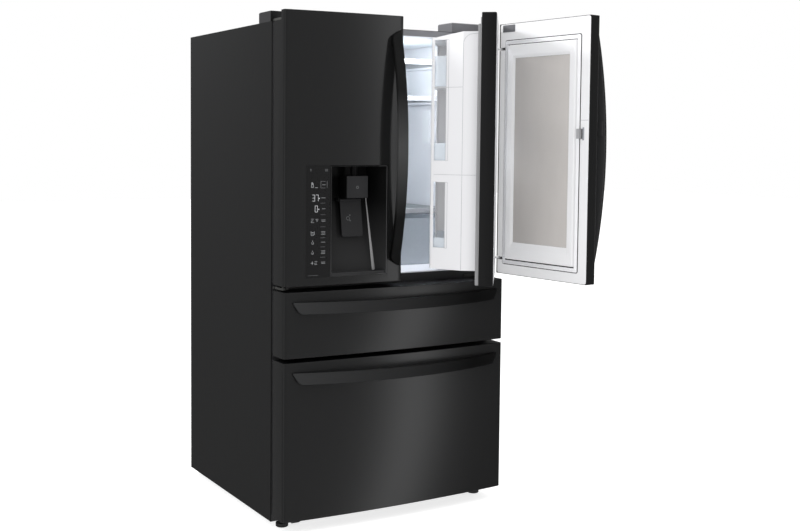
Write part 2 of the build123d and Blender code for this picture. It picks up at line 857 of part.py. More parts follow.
def left_door_liner():
    back = -door_standoff
    panel = door_inner_panel(-half, -free_x, door_z0, door_top, back)
    panel += ring(-inside_x + case_side_gap, -dyke_gap, fridge_floor + 15, fridge_ceiling - 10,
                  back, back + dyke_h, dyke_t)
    lug = rod_z(-hinge_x, hinge_y, notch_z - pin_reach - 2, notch_z - skin_t - skin_fit, 14)
    lug += block(-hinge_x - 10, -hinge_x + 10, hinge_y, back - 1, notch_z - pin_reach - 2,
                 notch_z - skin_t - skin_fit)
    foot_z = door_z0 + skin_t + skin_fit
    foot = rod_z(-hinge_x, hinge_y, foot_z, door_z0 + pin_reach + 2, 14)
    foot += block(-hinge_x - 10, -hinge_x + 10, hinge_y, back - 1, foot_z, door_z0 + pin_reach + 2)
    panel = panel + lug + foot + flipper_arms()
    panel -= mirrored(hinge_notch(-hinge_forward - 19 - skin_t))
    return [panel - mirrored(hinge_bores())]


def door_gasket(x0, x1):
    """A magnetic gasket round a door's back, on the cabinet's front rails."""
    return ring(x0, x1, door_z0 + 3, case_top - 6, -door_standoff, -seal_gap, gasket_w)


def left_door_gasket():
    return [door_gasket(-hinge_x + 5, -free_x - 8)]


def left_door_bins():
    x0, x1 = -inside_x + case_side_gap + dyke_t, -dyke_gap - dyke_t
    y0 = -door_standoff
    return [open_box(x0, x1, y0, y0 + bin_reach, z, z + bin_h, bin_wall) for z in bin_levels]


def ice_maker():
    """Insulated ice compartment with its cover, and the ice bucket inside."""
    x0, x1 = -inside_x + case_side_gap + dyke_t, -dyke_gap - dyke_t
    z1 = fridge_ceiling - 10 - dyke_t
    z0 = z1 - ice_box_h
    y0, y1 = -door_standoff, ice_box_reach
    cover_t_ice = 8.0
    house = block(x0, x1, y0, y1 - cover_t_ice, z0, z1)
    house -= block(x0 + ice_wall, x1 - ice_wall, y0 + 6, y1, z0 + ice_wall, z1 - ice_wall)
    cover = block(x0, x1, y1 - cover_t_ice, y1, z0, z1)
    cover = fillet(cover.edges().filter_by(Axis.Z).group_by(Axis.Y)[-1], 5)
    cover -= block(x0 + 14, x0 + 40, y1 - 4, y1 + 1, (z0 + z1) / 2 - 40, (z0 + z1) / 2 + 40)
    bucket = open_box(x0 + ice_wall + 4, x1 - ice_wall - 4, y0 + 10, y1 - cover_t_ice - 4,
                      z0 + ice_wall, z0 + ice_wall + 190, 3)
    tray = block(x0 + ice_wall, x1 - ice_wall - 30, y0 + 6, y1 - cover_t_ice - 20,
                 z1 - ice_wall - 60, z1 - ice_wall)
    return [house, cover, bucket, tray]


def recess_middle():
    """X of the recess's middle."""
    return (dispenser_x0 + panel_w + dispenser_x1) / 2


def recess_cavity(grow):
    """The dispenser's hollow, grown by a wall: sides flare to the front, the back leans."""
    xm = recess_middle()
    face = -front_depth - 6
    half_w = (dispenser_x1 - dispenser_x0 - panel_w) / 2 - recess_rim + grow
    z0 = dispenser_z0 + recess_rim - grow
    z1 = dispenser_z0 + dispenser_h - recess_rim + grow
    surface = front_y(xm)
    back = surface + recess_depth_top + grow
    low_back = surface + recess_depth_low + grow
    narrow = half_w - recess_flare * (back - surface)
    plan = Polygon((xm - half_w, face), (xm + half_w, face), (xm + half_w, surface),
                   (xm + narrow, back), (xm - narrow, back), (xm - half_w, surface), align=None)
    column = Pos(0, 0, z0) * extrude(plan, z1 - z0)
    side = Polygon((face, z0), (low_back, z0), (back, z1 - recess_knee), (back, z1), (face, z1),
                   align=None)
    wedge = extrude(Plane.YZ * side, half, both=True)
    return column & wedge


def dispenser_housing():
    z1 = dispenser_z0 + dispenser_h
    x0 = dispenser_x0 + panel_w
    frame = bow_slab(x0 + bezel_fit, dispenser_x1 - bezel_fit, dispenser_z0 + bezel_fit,
                     z1 - bezel_fit, 0.0, bezel_t)
    shell = recess_cavity(recess_wall) & block(-half, 0, front_y(recess_middle()) + 3, 0, 0, case_top)
    shell = (frame + shell) - recess_cavity(0.0)
    xm = recess_middle()
    top = z1 - recess_rim
    y0 = front_y(xm) + chute_set_back
    chute = block(xm - chute_w / 2, xm + chute_w / 2, y0, y0 + 52, top - 34 - chute_h, top - 34)
    chute = fillet(chute.edges().filter_by(Axis.Z).group_by(Axis.Y)[0], 4)
    chute += rod_z(xm, y0 + 26, top - 34, top, nozzle_r)
    chute -= rod_z(xm, y0 + 26, top - 40 - chute_h, top - 60, nozzle_r)
    pivot_y, pivot_z = paddle_pivot()
    pin = rod_x(xm - paddle_w / 2 - 14, xm + paddle_w / 2 + 14, pivot_y, pivot_z, paddle_pin_r)
    ears = [block(xm + s * (paddle_w / 2 + 6) - 2, xm + s * (paddle_w / 2 + 6) + 2, pivot_y - 5,
                  front_y(xm) + recess_depth_top + 1, pivot_z - 5, pivot_z + 5) for s in (-1, 1)]
    return [shell + pin + ears[0] + ears[1], chute]


def paddle_pivot():
    """Y and Z of the paddle's pin, just below the chute."""
    top = dispenser_z0 + dispenser_h - recess_rim - 34 - chute_h
    return front_y(recess_middle()) + recess_depth_top - paddle_off, top - 8


def paddle_lean():
    """Angle of the recess's leaning back wall from the vertical."""
    rise = dispenser_h - 2 * recess_rim - recess_knee
    return math.degrees(math.atan2(recess_depth_top - recess_depth_low, rise))


def dispenser_paddle():
    """Lever that a glass pushes back, hung on a pin and parallel to the leaning wall."""
    y, z = paddle_pivot()
    xm = recess_middle()
    plate = block(-paddle_w / 2, paddle_w / 2, -paddle_t / 2, paddle_t / 2, -paddle_h, 0)
    plate = fillet(plate.edges().filter_by(Axis.Y).group_by(Axis.Z)[0], 8)
    plate += rod_x(-paddle_w / 2, paddle_w / 2, 0, 0, paddle_pin_r + 2.5)
    plate -= rod_x(-paddle_w, paddle_w, 0, 0, paddle_pin_r + running_gap)
    return [Pos(xm, y, z) * Rot(-paddle_lean(), 0, 0) * plate]


def drip_tray():
    """Shallow tray that slides out of the foot of the recess."""
    xm = recess_middle()
    floor = dispenser_z0 + recess_rim
    room = recess_cavity(-tray_gap) & block(-half, 0, front_y(xm) + 3, 0, floor, floor + tray_h)
    hollow = recess_cavity(-tray_gap - 3) & block(-half, 0, front_y(xm) + 6, 0, floor, floor + 2 * tray_h)
    return [room - hollow]


def control_panel():
    z1 = dispenser_z0 + dispenser_h
    x1 = dispenser_x0 + panel_w
    plate = bow_slab(dispenser_x0 + bezel_fit, x1, dispenser_z0 + bezel_fit, z1 - bezel_fit, 0.0,
                     bezel_t)
    board = block(dispenser_x0 + 14, x1 - 14, front_y(x1, bezel_t) + 4, front_y(x1, bezel_t) + 22,
                  dispenser_z0 + 30, z1 - 30)
    return [plate, board]


def flipper_axis():
    """X and Y of the flipper's pins."""
    return flipper_x0 + flipper_t / 2, seal_gap + flipper_t / 2


def flipper_arm_levels():
    """Lower face of each arm that carries the flipper."""
    return fridge_floor + flipper_arm_in, fridge_ceiling - flipper_arm_in - flipper_arm_h


def mullion_flipper():
    """Hinged centre mullion on the left door's free side, which both gaskets seal on."""
    x, y = flipper_axis()
    z0, z1 = fridge_floor + flipper_end_gap, fridge_ceiling - flipper_end_gap
    bar = block(flipper_x0, flipper_x0 + flipper_w, seal_gap, seal_gap + flipper_t, z0, z1)
    bar = fillet(bar.edges().filter_by(Axis.Z).group_by(Axis.X)[0], flipper_t / 2 - 0.05)
    bar = fillet(bar.edges().filter_by(Axis.Z).group_by(Axis.X)[-1], 2)
    for z in flipper_arm_levels():
        low, high = z - 1, z + flipper_arm_h + 1
        bar -= block(flipper_x0 - 1, x + flipper_arm_r + 1, y - flipper_t, y + flipper_t, low, high)
        bar -= rod_z(x, y, low - flipper_pin_reach, high + flipper_pin_reach,
                     flipper_pin_r + running_gap)
    return [bar]


def flipper_arms():
    """Arms on the left door's dyke, each with a pin up and down into the flipper."""
    x, y = flipper_axis()
    arms = None
    for z in flipper_arm_levels():
        high = z + flipper_arm_h
        arm = block(-dyke_gap - dyke_t / 2, x, y - flipper_arm_r, y + flipper_arm_r, z, high)
        arm += rod_z(x, y, z, high, flipper_arm_r)
        arm += rod_z(x, y, z - flipper_pin_reach, high + flipper_pin_reach, flipper_pin_r)
        arms = arm if arms is None else arms + arm
    return arms


# ---- Handles ----
def bowed_strap(length, face_mid, face_end):
    """A strap along X, bowed to -Y, with its ends cut at a slant and two feet.

    face_mid and face_end are how far the panel's front stands ahead of Y = 0 at the strap's
    middle and at its ends.
    """
    rise = face_mid + strap_proud - (face_end + strap_end_proud)
    radius = ((length / 2) ** 2 + rise**2) / (2 * rise)
    centre_y = radius - face_mid - strap_proud
    disc = Pos(0, centre_y, 0) * Cylinder(radius, strap_w)
    core = Pos(0, centre_y, 0) * Cylinder(radius - strap_t, strap_w + 2)
    window = Polygon((-length / 2, strap_w / 2), (length / 2, strap_w / 2),
                     (length / 2 - end_slant, -strap_w / 2), (-length / 2 + end_slant, -strap_w / 2),
                     align=None)
    window = extrude(Plane.XZ * window, front_depth + strap_proud + 20, both=True)
    strap = (disc - core) & window
    feet = []
    for side in (-1, 1):
        x = side * (length / 2 - end_slant - foot_len / 2)
        foot = block(x - foot_len / 2, x + foot_len / 2, -face_mid - strap_proud, 0,
                     -strap_w / 2 + foot_inset, strap_w / 2 - foot_inset)
        feet.append(foot & core)
    return strap, feet


def drawer_handle(top_z):
    """Handle across a drawer front."""
    length = case_width - 2 * drawer_strap_end
    strap, feet = bowed_strap(length, front_depth, -front_y(length / 2))
    z = top_z - drawer_strap_drop - strap_w / 2
    panel = Pos(0, front_radius - front_depth, 0) * Cylinder(front_radius + foot_gap, 4 * strap_w)
    for foot in feet:
        strap += foot - panel
    return [Pos(0, 0, z) * strap]


def door_handle():
    """Upright handle near the free edge of the right-hand outer door, closed."""
    z0, z1 = door_z0 + door_strap_low, door_top - door_strap_high
    x = door_strap_in + strap_w / 2
    face = -front_y(x)
    strap, feet = bowed_strap(z1 - z0, face, face)
    panel = block(-case_width, case_width, -face - foot_gap, front_depth, -case_width, case_width)
    for foot in feet:
        strap += foot - panel
    return Pos(x, 0, (z0 + z1) / 2) * Rot(0, -90, 0) * strap


def strap_inner_y():
    """Y of the outer door handle's inner face at the button's height."""
    z0, z1 = door_z0 + door_strap_low, door_top - door_strap_high
    face = -front_y(door_strap_in + strap_w / 2)
    rise = strap_proud - strap_end_proud
    radius = (((z1 - z0) / 2) ** 2 + rise**2) / (2 * rise)
    centre_y = radius - face - strap_proud
    return centre_y - math.sqrt((radius - strap_t) ** 2 - (button_z - (z0 + z1) / 2) ** 2)


def button_body(grow, depth):
    """The release button in the back of the outer door's handle."""
    x = door_strap_in + strap_w / 2
    y = strap_inner_y()
    return block(x - button_w / 2 - grow, x + button_w / 2 + grow, y + button_proud - depth,
                 y + button_proud, button_z - button_h / 2 - grow, button_z + button_h / 2 + grow)


# ---- Right door: inner frame ----
def right_door_frame():
    frame = ring(free_x, half, door_z0, door_top, frame_front, -door_standoff, frame_rim)
    frame = fillet(frame.edges().filter_by(Axis.Z).group_by(Axis.X)[0], 5)
    frame -= hinge_notch(frame_front - 1)
    frame -= hinge_bores()
    frame -= block(latch_x - latch_lip - latch_travel - latch_clear, latch_x + latch_w + latch_clear,
                   frame_front - 1, frame_front + latch_reach + latch_clear,
                   latch_z - latch_h / 2 - latch_clear, latch_z + latch_h / 2 + latch_clear)
    for z0 in outer_hinge_levels():
        frame -= outer_leaf(z0, 0.0)
    return [inner_door_at_rest(frame)]


def outer_hinge_levels():
    """Lower face of each outer door hinge leaf: below and above the outer door."""
    return door_z0 + pin_reach + 14, notch_z - pin_reach - 32


def outer_leaf(z0, grow):
    """A leaf let into the frame that carries one outer door pin."""
    return block(half - frame_rim + 10, half - 16, frame_front - grow, frame_front + 12, z0, z0 + 18)


def outer_door_hinges():
    """Leaves on the frame with pins in the outer door's knuckle slots."""
    hinges = []
    for z0 in outer_hinge_levels():
        leaf = outer_leaf(z0, 0.0)
        arm = block(outer_hinge_x - 9, outer_hinge_x + 5, outer_hinge_y, frame_front, z0 + 6, z0 + 12)
        arm += rod_z(outer_hinge_x, outer_hinge_y, z0 + 6 - outer_pin_len, z0 + 12 + outer_pin_len,
                     outer_pin_r)
        arm += rod_z(outer_hinge_x, outer_hinge_y, z0 + 6, z0 + 12, 7)
        hinges.append(inner_door_at_rest(leaf + arm))
    return hinges


def bin_case_plan(inset):
    """Plan of the bin case, drawn in by inset: its free side slants in towards the back."""
    x0, x1 = free_x + case_rim, inside_x - case_side_gap
    front = -door_standoff
    plan = Polygon((x0, front), (x1, front), (x1, bin_case_y), (x0 + case_slant, bin_case_y),
                   (x0, bin_case_slope_y), align=None)
    return offset(plan, amount=-inset, kind=Kind.INTERSECTION) if inset else plan


def bin_case_room(inset, z0, z1):
    """Part of the bin case's inside, open to the front, between two levels."""
    room = bin_case_plan(inset)
    x0, x1 = free_x + case_rim + inset, inside_x - case_side_gap - inset
    mouth = Pos((x0 + x1) / 2, inset - door_standoff - 1) * Rectangle(x1 - x0, 2 * inset + 2)
    return Pos(0, 0, z0) * extrude(room + mouth, z1 - z0)


def right_bin_case():
    """White case on the frame's back: open to the front, with windows on its free side and back."""
    x0, x1 = free_x + case_rim, inside_x - case_side_gap
    z0, z1 = bin_case_z0, bin_case_z1
    y0 = -door_standoff
    w = bin_case_wall
    top = z1 + bin_case_slope_h
    shell = Pos(0, 0, z0) * extrude(bin_case_plan(0.0), top - z0)
    shell = fillet(shell.edges().filter_by(Axis.Z).group_by(Axis.Y)[-1], 10)
    slope = Plane.YZ * Polygon((bin_case_slope_y, top), (bin_case_y, z1), (bin_case_y + 1, z1),
                               (bin_case_y + 1, top + 1), (bin_case_slope_y, top + 1), align=None)
    shell -= Pos(x0 - 1, 0, 0) * extrude(slope, x1 - x0 + 2)
    levels = (z0,) + bin_shelves + (z1 - w,)
    for low, high in zip(levels[:-1], levels[1:]):
        shell -= bin_case_room(w, low + w, high)
    shell -= block(x0 + w, x1 - w, y0 - 1, bin_case_slope_y - w, z1 - w - 1, top - w)
    for low, high in ((levels[0] + low_window_rise, levels[1] - low_window_drop),
                      (levels[1] + high_window_rise, levels[3] - high_window_drop)):
        shell -= block(x0 - 1, x0 + case_slant + 2 * w, window_y0, bin_case_y - window_back, low, high)
        shell -= block(x0 + case_slant + back_window_side, x1 - back_window_side,
                       bin_case_y - w - 1, bin_case_y + 1, low, high)
    return [inner_door_at_rest(shell)]


def right_door_baskets():
    """One open basket on each floor of the bin case, with the case's own plan."""
    outside = bin_case_wall + basket_gap
    inside = outside + basket_wall
    front = block(0, half, basket_front - door_standoff, bin_case_y, 0, case_top)
    room = block(0, half, basket_front + basket_wall - door_standoff, bin_case_y, 0, case_top)
    baskets = []
    for z in (bin_case_z0,) + bin_shelves:
        low = z + bin_case_wall
        high = low + basket_h
        body = Pos(0, 0, low) * extrude(bin_case_plan(outside), basket_h) & front
        hollow = Pos(0, 0, low + basket_wall) * extrude(bin_case_plan(inside), basket_h) & room
        baskets.append(inner_door_at_rest(body - hollow))
    return baskets


def right_door_gasket():
    return [inner_door_at_rest(door_gasket(free_x + 8, hinge_x - 5))]


# ---- Outer door ----
def outer_hinge_slots():
    """Clearance in the outer door for its hinge arms and pins."""
    cuts = None
    for z0 in outer_hinge_levels():
        cut = block(outer_hinge_x - outer_slot_len, half + 1, outer_hinge_y - 9, outer_back + 1,
                    z0 + 4, z0 + 14)
        cut += rod_z(outer_hinge_x, outer_hinge_y, z0 + 4 - outer_pin_len, z0 + 14 + outer_pin_len,
                     outer_pin_r + running_gap)
        cuts = cut if cuts is None else cuts + cut
    return cuts


def outer_door_skin():
    skin = front_skin(free_x, half, door_z0, door_top, outer_back, outer_corner)
    return [outer_door_at_rest(skin - outer_hinge_slots())]


def outer_door_liner():
    """Moulded inner panel with a seat for the glass, and knuckle blocks for the hinge pins."""
    gap = skin_t + skin_fit
    panel = block(free_x + gap, half - outer_corner, outer_back - panel_t, outer_back, door_z0 + gap,
                  door_top - gap)
    panel += ring(free_x + gap, half - outer_corner, door_z0 + gap, door_top - gap, outer_back - 20,
                  outer_back - panel_t, panel_t)
    z0, z1 = glass_z()
    panel -= block(glass_x0, glass_x1, outer_back - panel_t - 1, outer_back + 1, z0, z1)
    panel += ring(glass_x0 - 6, glass_x1 + 6, z0 - 6, z1 + 6, outer_back - glass_t - 6,
                  outer_back - glass_t, 12)
    panel += block(glass_x0 - 6, glass_x1 + 6, outer_back - glass_t - 9, outer_back - glass_t - 6,
                   z0 - 6, z1 + 6)
    for low in outer_hinge_levels():
        z0, z1 = low - outer_pin_len - 6, low + 24 + outer_pin_len
        panel += block(outer_hinge_x - 16, outer_hinge_x + 7, outer_hinge_y - 8, outer_hinge_y + 7,
                       z0, z1)
        panel += block(outer_hinge_x - 16, outer_hinge_x - 2, outer_hinge_y - 8, outer_back - 1,
                       z0, z1)
    corner = block(half - frame_rim, half, outer_back - 16, outer_back + 1, notch_z + 4, door_top)
    guide, hollow = latch_guide()
    guide &= block(0, half, -front_depth, outer_back - 1, door_z0, door_top)
    panel = panel + guide - hollow - latch_slot()
    return [outer_door_at_rest(panel - outer_hinge_slots() - corner)]


def glass_z():
    """Z range of the outer door's inner glass."""
    return (door_z0 + outer_gasket_bottom + glass_bottom, door_top - outer_gasket_top - glass_top)


def outer_door_glass():
    z0, z1 = glass_z()
    pane = block(glass_x0 + skin_fit, glass_x1 - skin_fit, outer_back - glass_t, outer_back,
                 z0 + skin_fit, z1 - skin_fit)
    return [outer_door_at_rest(pane)]


def outer_door_gasket():
    seal = ring(free_x + outer_gasket_side, half - outer_gasket_side, door_z0 + outer_gasket_bottom,
                door_top - outer_gasket_top, outer_back, frame_front - seal_gap, gasket_w)
    return [outer_door_at_rest(seal)]


def latch_foot(grow):
    """The latch hook's captive foot behind the outer door's inner panel."""
    y1 = outer_back - panel_t - slide_gap + grow
    wide = latch_lip + grow
    return block(latch_x - wide, latch_x + latch_w + wide, y1 - latch_root_t - 2 * grow, y1,
                 latch_z - latch_h / 2 - wide, latch_z + latch_h / 2 + wide)


def latch_guide():
    """Housing behind the outer door's inner panel that the latch hook slides in."""
    hollow = latch_foot(slide_gap)
    swept = hollow + Pos(-latch_travel, 0, 0) * hollow
    wall = latch_foot(slide_gap + latch_wall)
    return (wall + Pos(-latch_travel, 0, 0) * wall), swept


def latch_slot():
    """Slot in the outer door's inner panel for the hook's blade."""
    return block(latch_x - latch_travel - slide_gap, latch_x + latch_w + slide_gap,
                 outer_back - panel_t - 1, outer_back + 1, latch_z - latch_h / 2 - slide_gap,
                 latch_z + latch_h / 2 + slide_gap)


def latch_hook():
    """Hook at the outer door's free side, which reaches behind the frame's front."""
    z0, z1 = latch_z - latch_h / 2, latch_z + latch_h / 2
    tip = frame_front + latch_reach
    hook = latch_foot(0.0)
    hook += block(latch_x, latch_x + latch_w, outer_back - panel_t - 1, tip, z0, z1)
    hook += block(latch_x - latch_lip, latch_x + latch_w, tip - latch_lip, tip, z0, z1)
    return [outer_door_at_rest(hook)]


def outer_door_handle():
    strap = door_handle() - button_body(slide_gap, button_t + button_travel + slide_gap)
    return [outer_door_at_rest(strap)]


def left_door_handle():
    return [mirrored(door_handle())]


def handle_button():
    return [outer_door_at_rest(button_body(0.0, button_t))]


# ---- Drawers ----
def drawer_skin(z0, high):
    return [front_skin(-half, half, z0, z0 + high, -door_standoff)]


def drawer_liner(z0, high):
    return [door_inner_panel(-half, half, z0, z0 + high, -door_standoff)]


def drawer_gasket(z0, z1):
    return [ring(-inside_x - 16, inside_x + 16, z0, z1, -door_standoff, -seal_gap, gasket_w)]


def fixed_rail(z0):
    """A channel on the liner's side wall, open to the middle."""
    outer = block(inside_x - rail_depth, inside_x, rail_y0, rail_y0 + rail_len, z0, z0 + rail_h)
    hollow = block(inside_x - rail_depth - 1, inside_x - rail_wall, rail_y0 - 1,
                   rail_y0 + rail_len + 1, z0 + rail_wall, z0 + rail_h - rail_wall)
    return outer - hollow


def moving_rail(z0, box_x, depth):
    """A bar on a drawer box's side that runs inside the fixed channel."""
    x1 = inside_x - rail_wall - rail_gap
    return block(box_x, x1, rail_y0 + 4, rail_y0 + depth, z0 + rail_wall + rail_gap,
                 z0 + rail_h - rail_wall - rail_gap)


def rail_levels():
    """Lower face of the middle drawer's and the freezer drawer's rails."""
    return middle_floor + 70, step_z + 60


def fixed_rails():
    return [rail for z in rail_levels() for rail in pair(fixed_rail(z))]


def middle_drawer_box():
    x = inside_x - box_side_gap
    bin_box = open_box(-x, x, -door_standoff, -door_standoff + middle_box_depth, middle_box_z,
                       middle_box_z + middle_box_h, box_wall)
    return [bin_box] + pair(moving_rail(rail_levels()[0], x, middle_box_depth - 40))


def freezer_drawer_box():
    """Deep freezer basket, a shallow tray resting on its rim, and the moving rails."""
    x = inside_x - box_side_gap
    z1 = freezer_box_z + freezer_box_h
    basket = open_box(-x, x, -door_standoff, -door_standoff + freezer_box_depth, freezer_box_z, z1,
                      box_wall)
    tray_x = x - box_wall - 1
    y1 = -door_standoff + freezer_box_depth - box_wall - 2
    tray = open_box(-tray_x, tray_x, y1 - tray_depth, y1, z1 - tray_drop, z1 + 6, box_wall)
    tray += block(-x + 0.5, x - 0.5, y1 - tray_depth, y1, z1, z1 + 6) - block(
        -tray_x + box_wall, tray_x - box_wall, y1 - tray_depth + box_wall, y1 - box_wall, z1 - 1,
        z1 + 7)
    return [basket, tray] + pair(moving_rail(rail_levels()[1], x, freezer_box_depth - 40))


# ---- Write every node ----
freezer_top = freezer_front_z + freezer_front_h
middle_top = middle_front_z + middle_front_h

nodes = {
    "case_wrapper": case_wrapper(),
    "rear_panel": rear_panel(),
    "base_pan": base_pan(),
    "case_insulation": case_insulation(),
    "fridge_liner": fridge_liner(),
    "drawer_liners": drawer_liners(),
    "front_rails": front_rails(),
    "hinge_covers": hinge_covers(),
    "door_hinges": door_hinges(),
    "air_duct_panel": air_duct_panel(),
    "lamp_covers": lamp_covers(),
    "shelf_glass": shelf_glass(),
    "shelf_frames": shelf_frames(),
    "left_crisper": crisper(-1),
    "right_crisper": crisper(1),
    "control_box": control_box(),
    "compressor": compressor(),
    "coils_and_fan_motors": coils_and_fan_motors(),
    "condenser_fan": condenser_fan(),
    "evaporator_fan": evaporator_fan(),
    "compressor_cover": compressor_cover(),
    "water_valve_and_filter": water_valve_and_filter(),
    "fixed_rails": fixed_rails(),
    "left_leg": levelling_leg(-1),
    "right_leg": levelling_leg(1),
    "front_rollers": front_rollers(),
    "rear_rollers": rear_rollers(),
    "left_door_skin": left_door_skin(),
    "left_door_liner": left_door_liner(),
    "left_door_gasket": left_door_gasket(),
    "left_door_bins": left_door_bins(),
    "left_door_handle": left_door_handle(),
    "ice_maker": ice_maker(),
    "dispenser_housing": dispenser_housing(),
    "dispenser_paddle": dispenser_paddle(),
    "drip_tray": drip_tray(),
    "control_panel": control_panel(),
    "mullion_flipper": mullion_flipper(),
    "right_door_frame": right_door_frame(),
    "right_bin_case": right_bin_case(),
    "right_door_baskets": right_door_baskets(),
    "right_door_gasket": right_door_gasket(),
    "outer_door_hinges": outer_door_hinges(),
    "outer_door_skin": outer_door_skin(),
    "outer_door_liner": outer_door_liner(),
    "outer_door_glass": outer_door_glass(),
    "outer_door_gasket": outer_door_gasket(),
    "outer_door_handle": outer_door_handle(),
    "latch_hook": latch_hook(),
    "handle_button": handle_button(),
    "middle_drawer_skin": drawer_skin(middle_front_z, middle_front_h),
    "middle_drawer_liner": drawer_liner(middle_front_z, middle_front_h),
    "middle_drawer_gasket": drawer_gasket(middle_floor - 18, middle_ceiling + 14),
    "middle_drawer_handle": drawer_handle(middle_top),
    "middle_drawer_box": middle_drawer_box(),
    "freezer_drawer_skin": drawer_skin(freezer_front_z, freezer_front_h),
    "freezer_drawer_liner": drawer_liner(freezer_front_z, freezer_front_h),
    "freezer_drawer_gasket": drawer_gasket(freezer_floor - 18, freezer_ceiling + 12),
    "freezer_drawer_handle": drawer_handle(freezer_top),
    "freezer_drawer_box": freezer_drawer_box(),
}

for name, shapes in nodes.items():
    export(name, shapes)
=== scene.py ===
"""French door refrigerator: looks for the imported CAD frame. Lengths in the helpers are millimetres."""
import json
import math
import bmesh
import bpy
from mathutils import Matrix, Vector


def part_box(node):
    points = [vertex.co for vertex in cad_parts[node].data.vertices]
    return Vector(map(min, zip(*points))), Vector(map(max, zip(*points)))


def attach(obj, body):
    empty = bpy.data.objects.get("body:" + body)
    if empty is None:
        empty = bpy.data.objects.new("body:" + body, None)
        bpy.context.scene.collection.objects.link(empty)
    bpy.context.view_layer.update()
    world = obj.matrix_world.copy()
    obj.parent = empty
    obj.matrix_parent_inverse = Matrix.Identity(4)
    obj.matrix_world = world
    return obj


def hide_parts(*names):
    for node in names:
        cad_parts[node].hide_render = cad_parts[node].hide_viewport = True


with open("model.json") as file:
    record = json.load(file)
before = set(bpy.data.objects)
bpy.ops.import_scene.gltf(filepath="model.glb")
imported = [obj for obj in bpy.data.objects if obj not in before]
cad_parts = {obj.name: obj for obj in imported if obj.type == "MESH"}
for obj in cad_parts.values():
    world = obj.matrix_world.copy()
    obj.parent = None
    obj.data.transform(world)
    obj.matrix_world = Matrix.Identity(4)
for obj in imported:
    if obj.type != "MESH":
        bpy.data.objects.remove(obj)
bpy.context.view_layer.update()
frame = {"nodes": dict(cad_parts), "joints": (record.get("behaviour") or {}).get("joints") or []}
joints = {j["name"]: j for j in frame["joints"]}
MM = 0.001


def corners(node):
    """A node's box in millimetres."""
    low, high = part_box(node)
    return [c / MM for c in low] + [c / MM for c in high]


def turned(joint_name, degrees):
    """A turn about a hinge's vertical axis."""
    pos = Vector(joints[joint_name]["pos_m"])
    return Matrix.Translation(pos) @ Matrix.Rotation(math.radians(degrees), 4, "Z") @ Matrix.Translation(-pos)


INNER = turned("right_door_hinge", -joints["right_door_hinge"]["range_deg"][0])
OUTER = turned("outer_door_hinge", -joints["outer_door_hinge"]["range_deg"][0]) @ INNER
CLOSED = Matrix.Identity(4)

# ---- Sizes shared by the pieces ----
HALF = corners("case_wrapper")[3]
CASE_TOP = corners("case_wrapper")[5]
DEPTH = -corners("freezer_drawer_skin")[1]  # from the case's front edge to the middle of the fronts
BULGE = 19.7  # how far the middle of the fronts stands before their sides
STANDOFF = 12.0  # room for the seals between the case and the fronts
BOW_R = (HALF**2 + BULGE**2) / (2 * BULGE)
FREE_X = 2.0  # half the gap between the two doors
DOOR_Z0, DOOR_Z1 = corners("left_door_skin")[2], corners("left_door_skin")[5]
MID_Z0, MID_Z1 = corners("middle_drawer_skin")[2], corners("middle_drawer_skin")[5]
LOW_Z0, LOW_Z1 = corners("freezer_drawer_skin")[2], corners("freezer_drawer_skin")[5]
HINGE_X = joints["right_door_hinge"]["pos_m"][0] / MM
PIN_Y, PIN_DEPTH = -49.0, 36.0  # the door hinges' pins
NOTCH_Z = DOOR_Z1 - 34  # the doors' top corners are cut away above this, for the hinges
NOTCH_SIDE = 16.0  # from a hinge's axis to the side of that notch
OUTER_BACK = -66.0  # back of the outer door, with the doors closed
FRAME_FRONT = -62.0  # front of the inner frame
STRAP_X = 38.0  # middle of an upright handle, from the gap between the doors
STRAP_Z0, STRAP_Z1 = corners("left_door_handle")[2], corners("left_door_handle")[5]
STRAP_MID = (STRAP_Z0 + STRAP_Z1) / 2
BUTTON_Z = 1388.0  # middle of the button in the outer door's handle
RECESS_SHADE = 1010.0  # painted shade: the dispenser's recess is painted lighter below this, and dark above


def bow(x, inset=0.0):
    """Y of the fronts' shared curve."""
    return BOW_R - DEPTH - math.sqrt((BOW_R - inset) ** 2 - x * x)


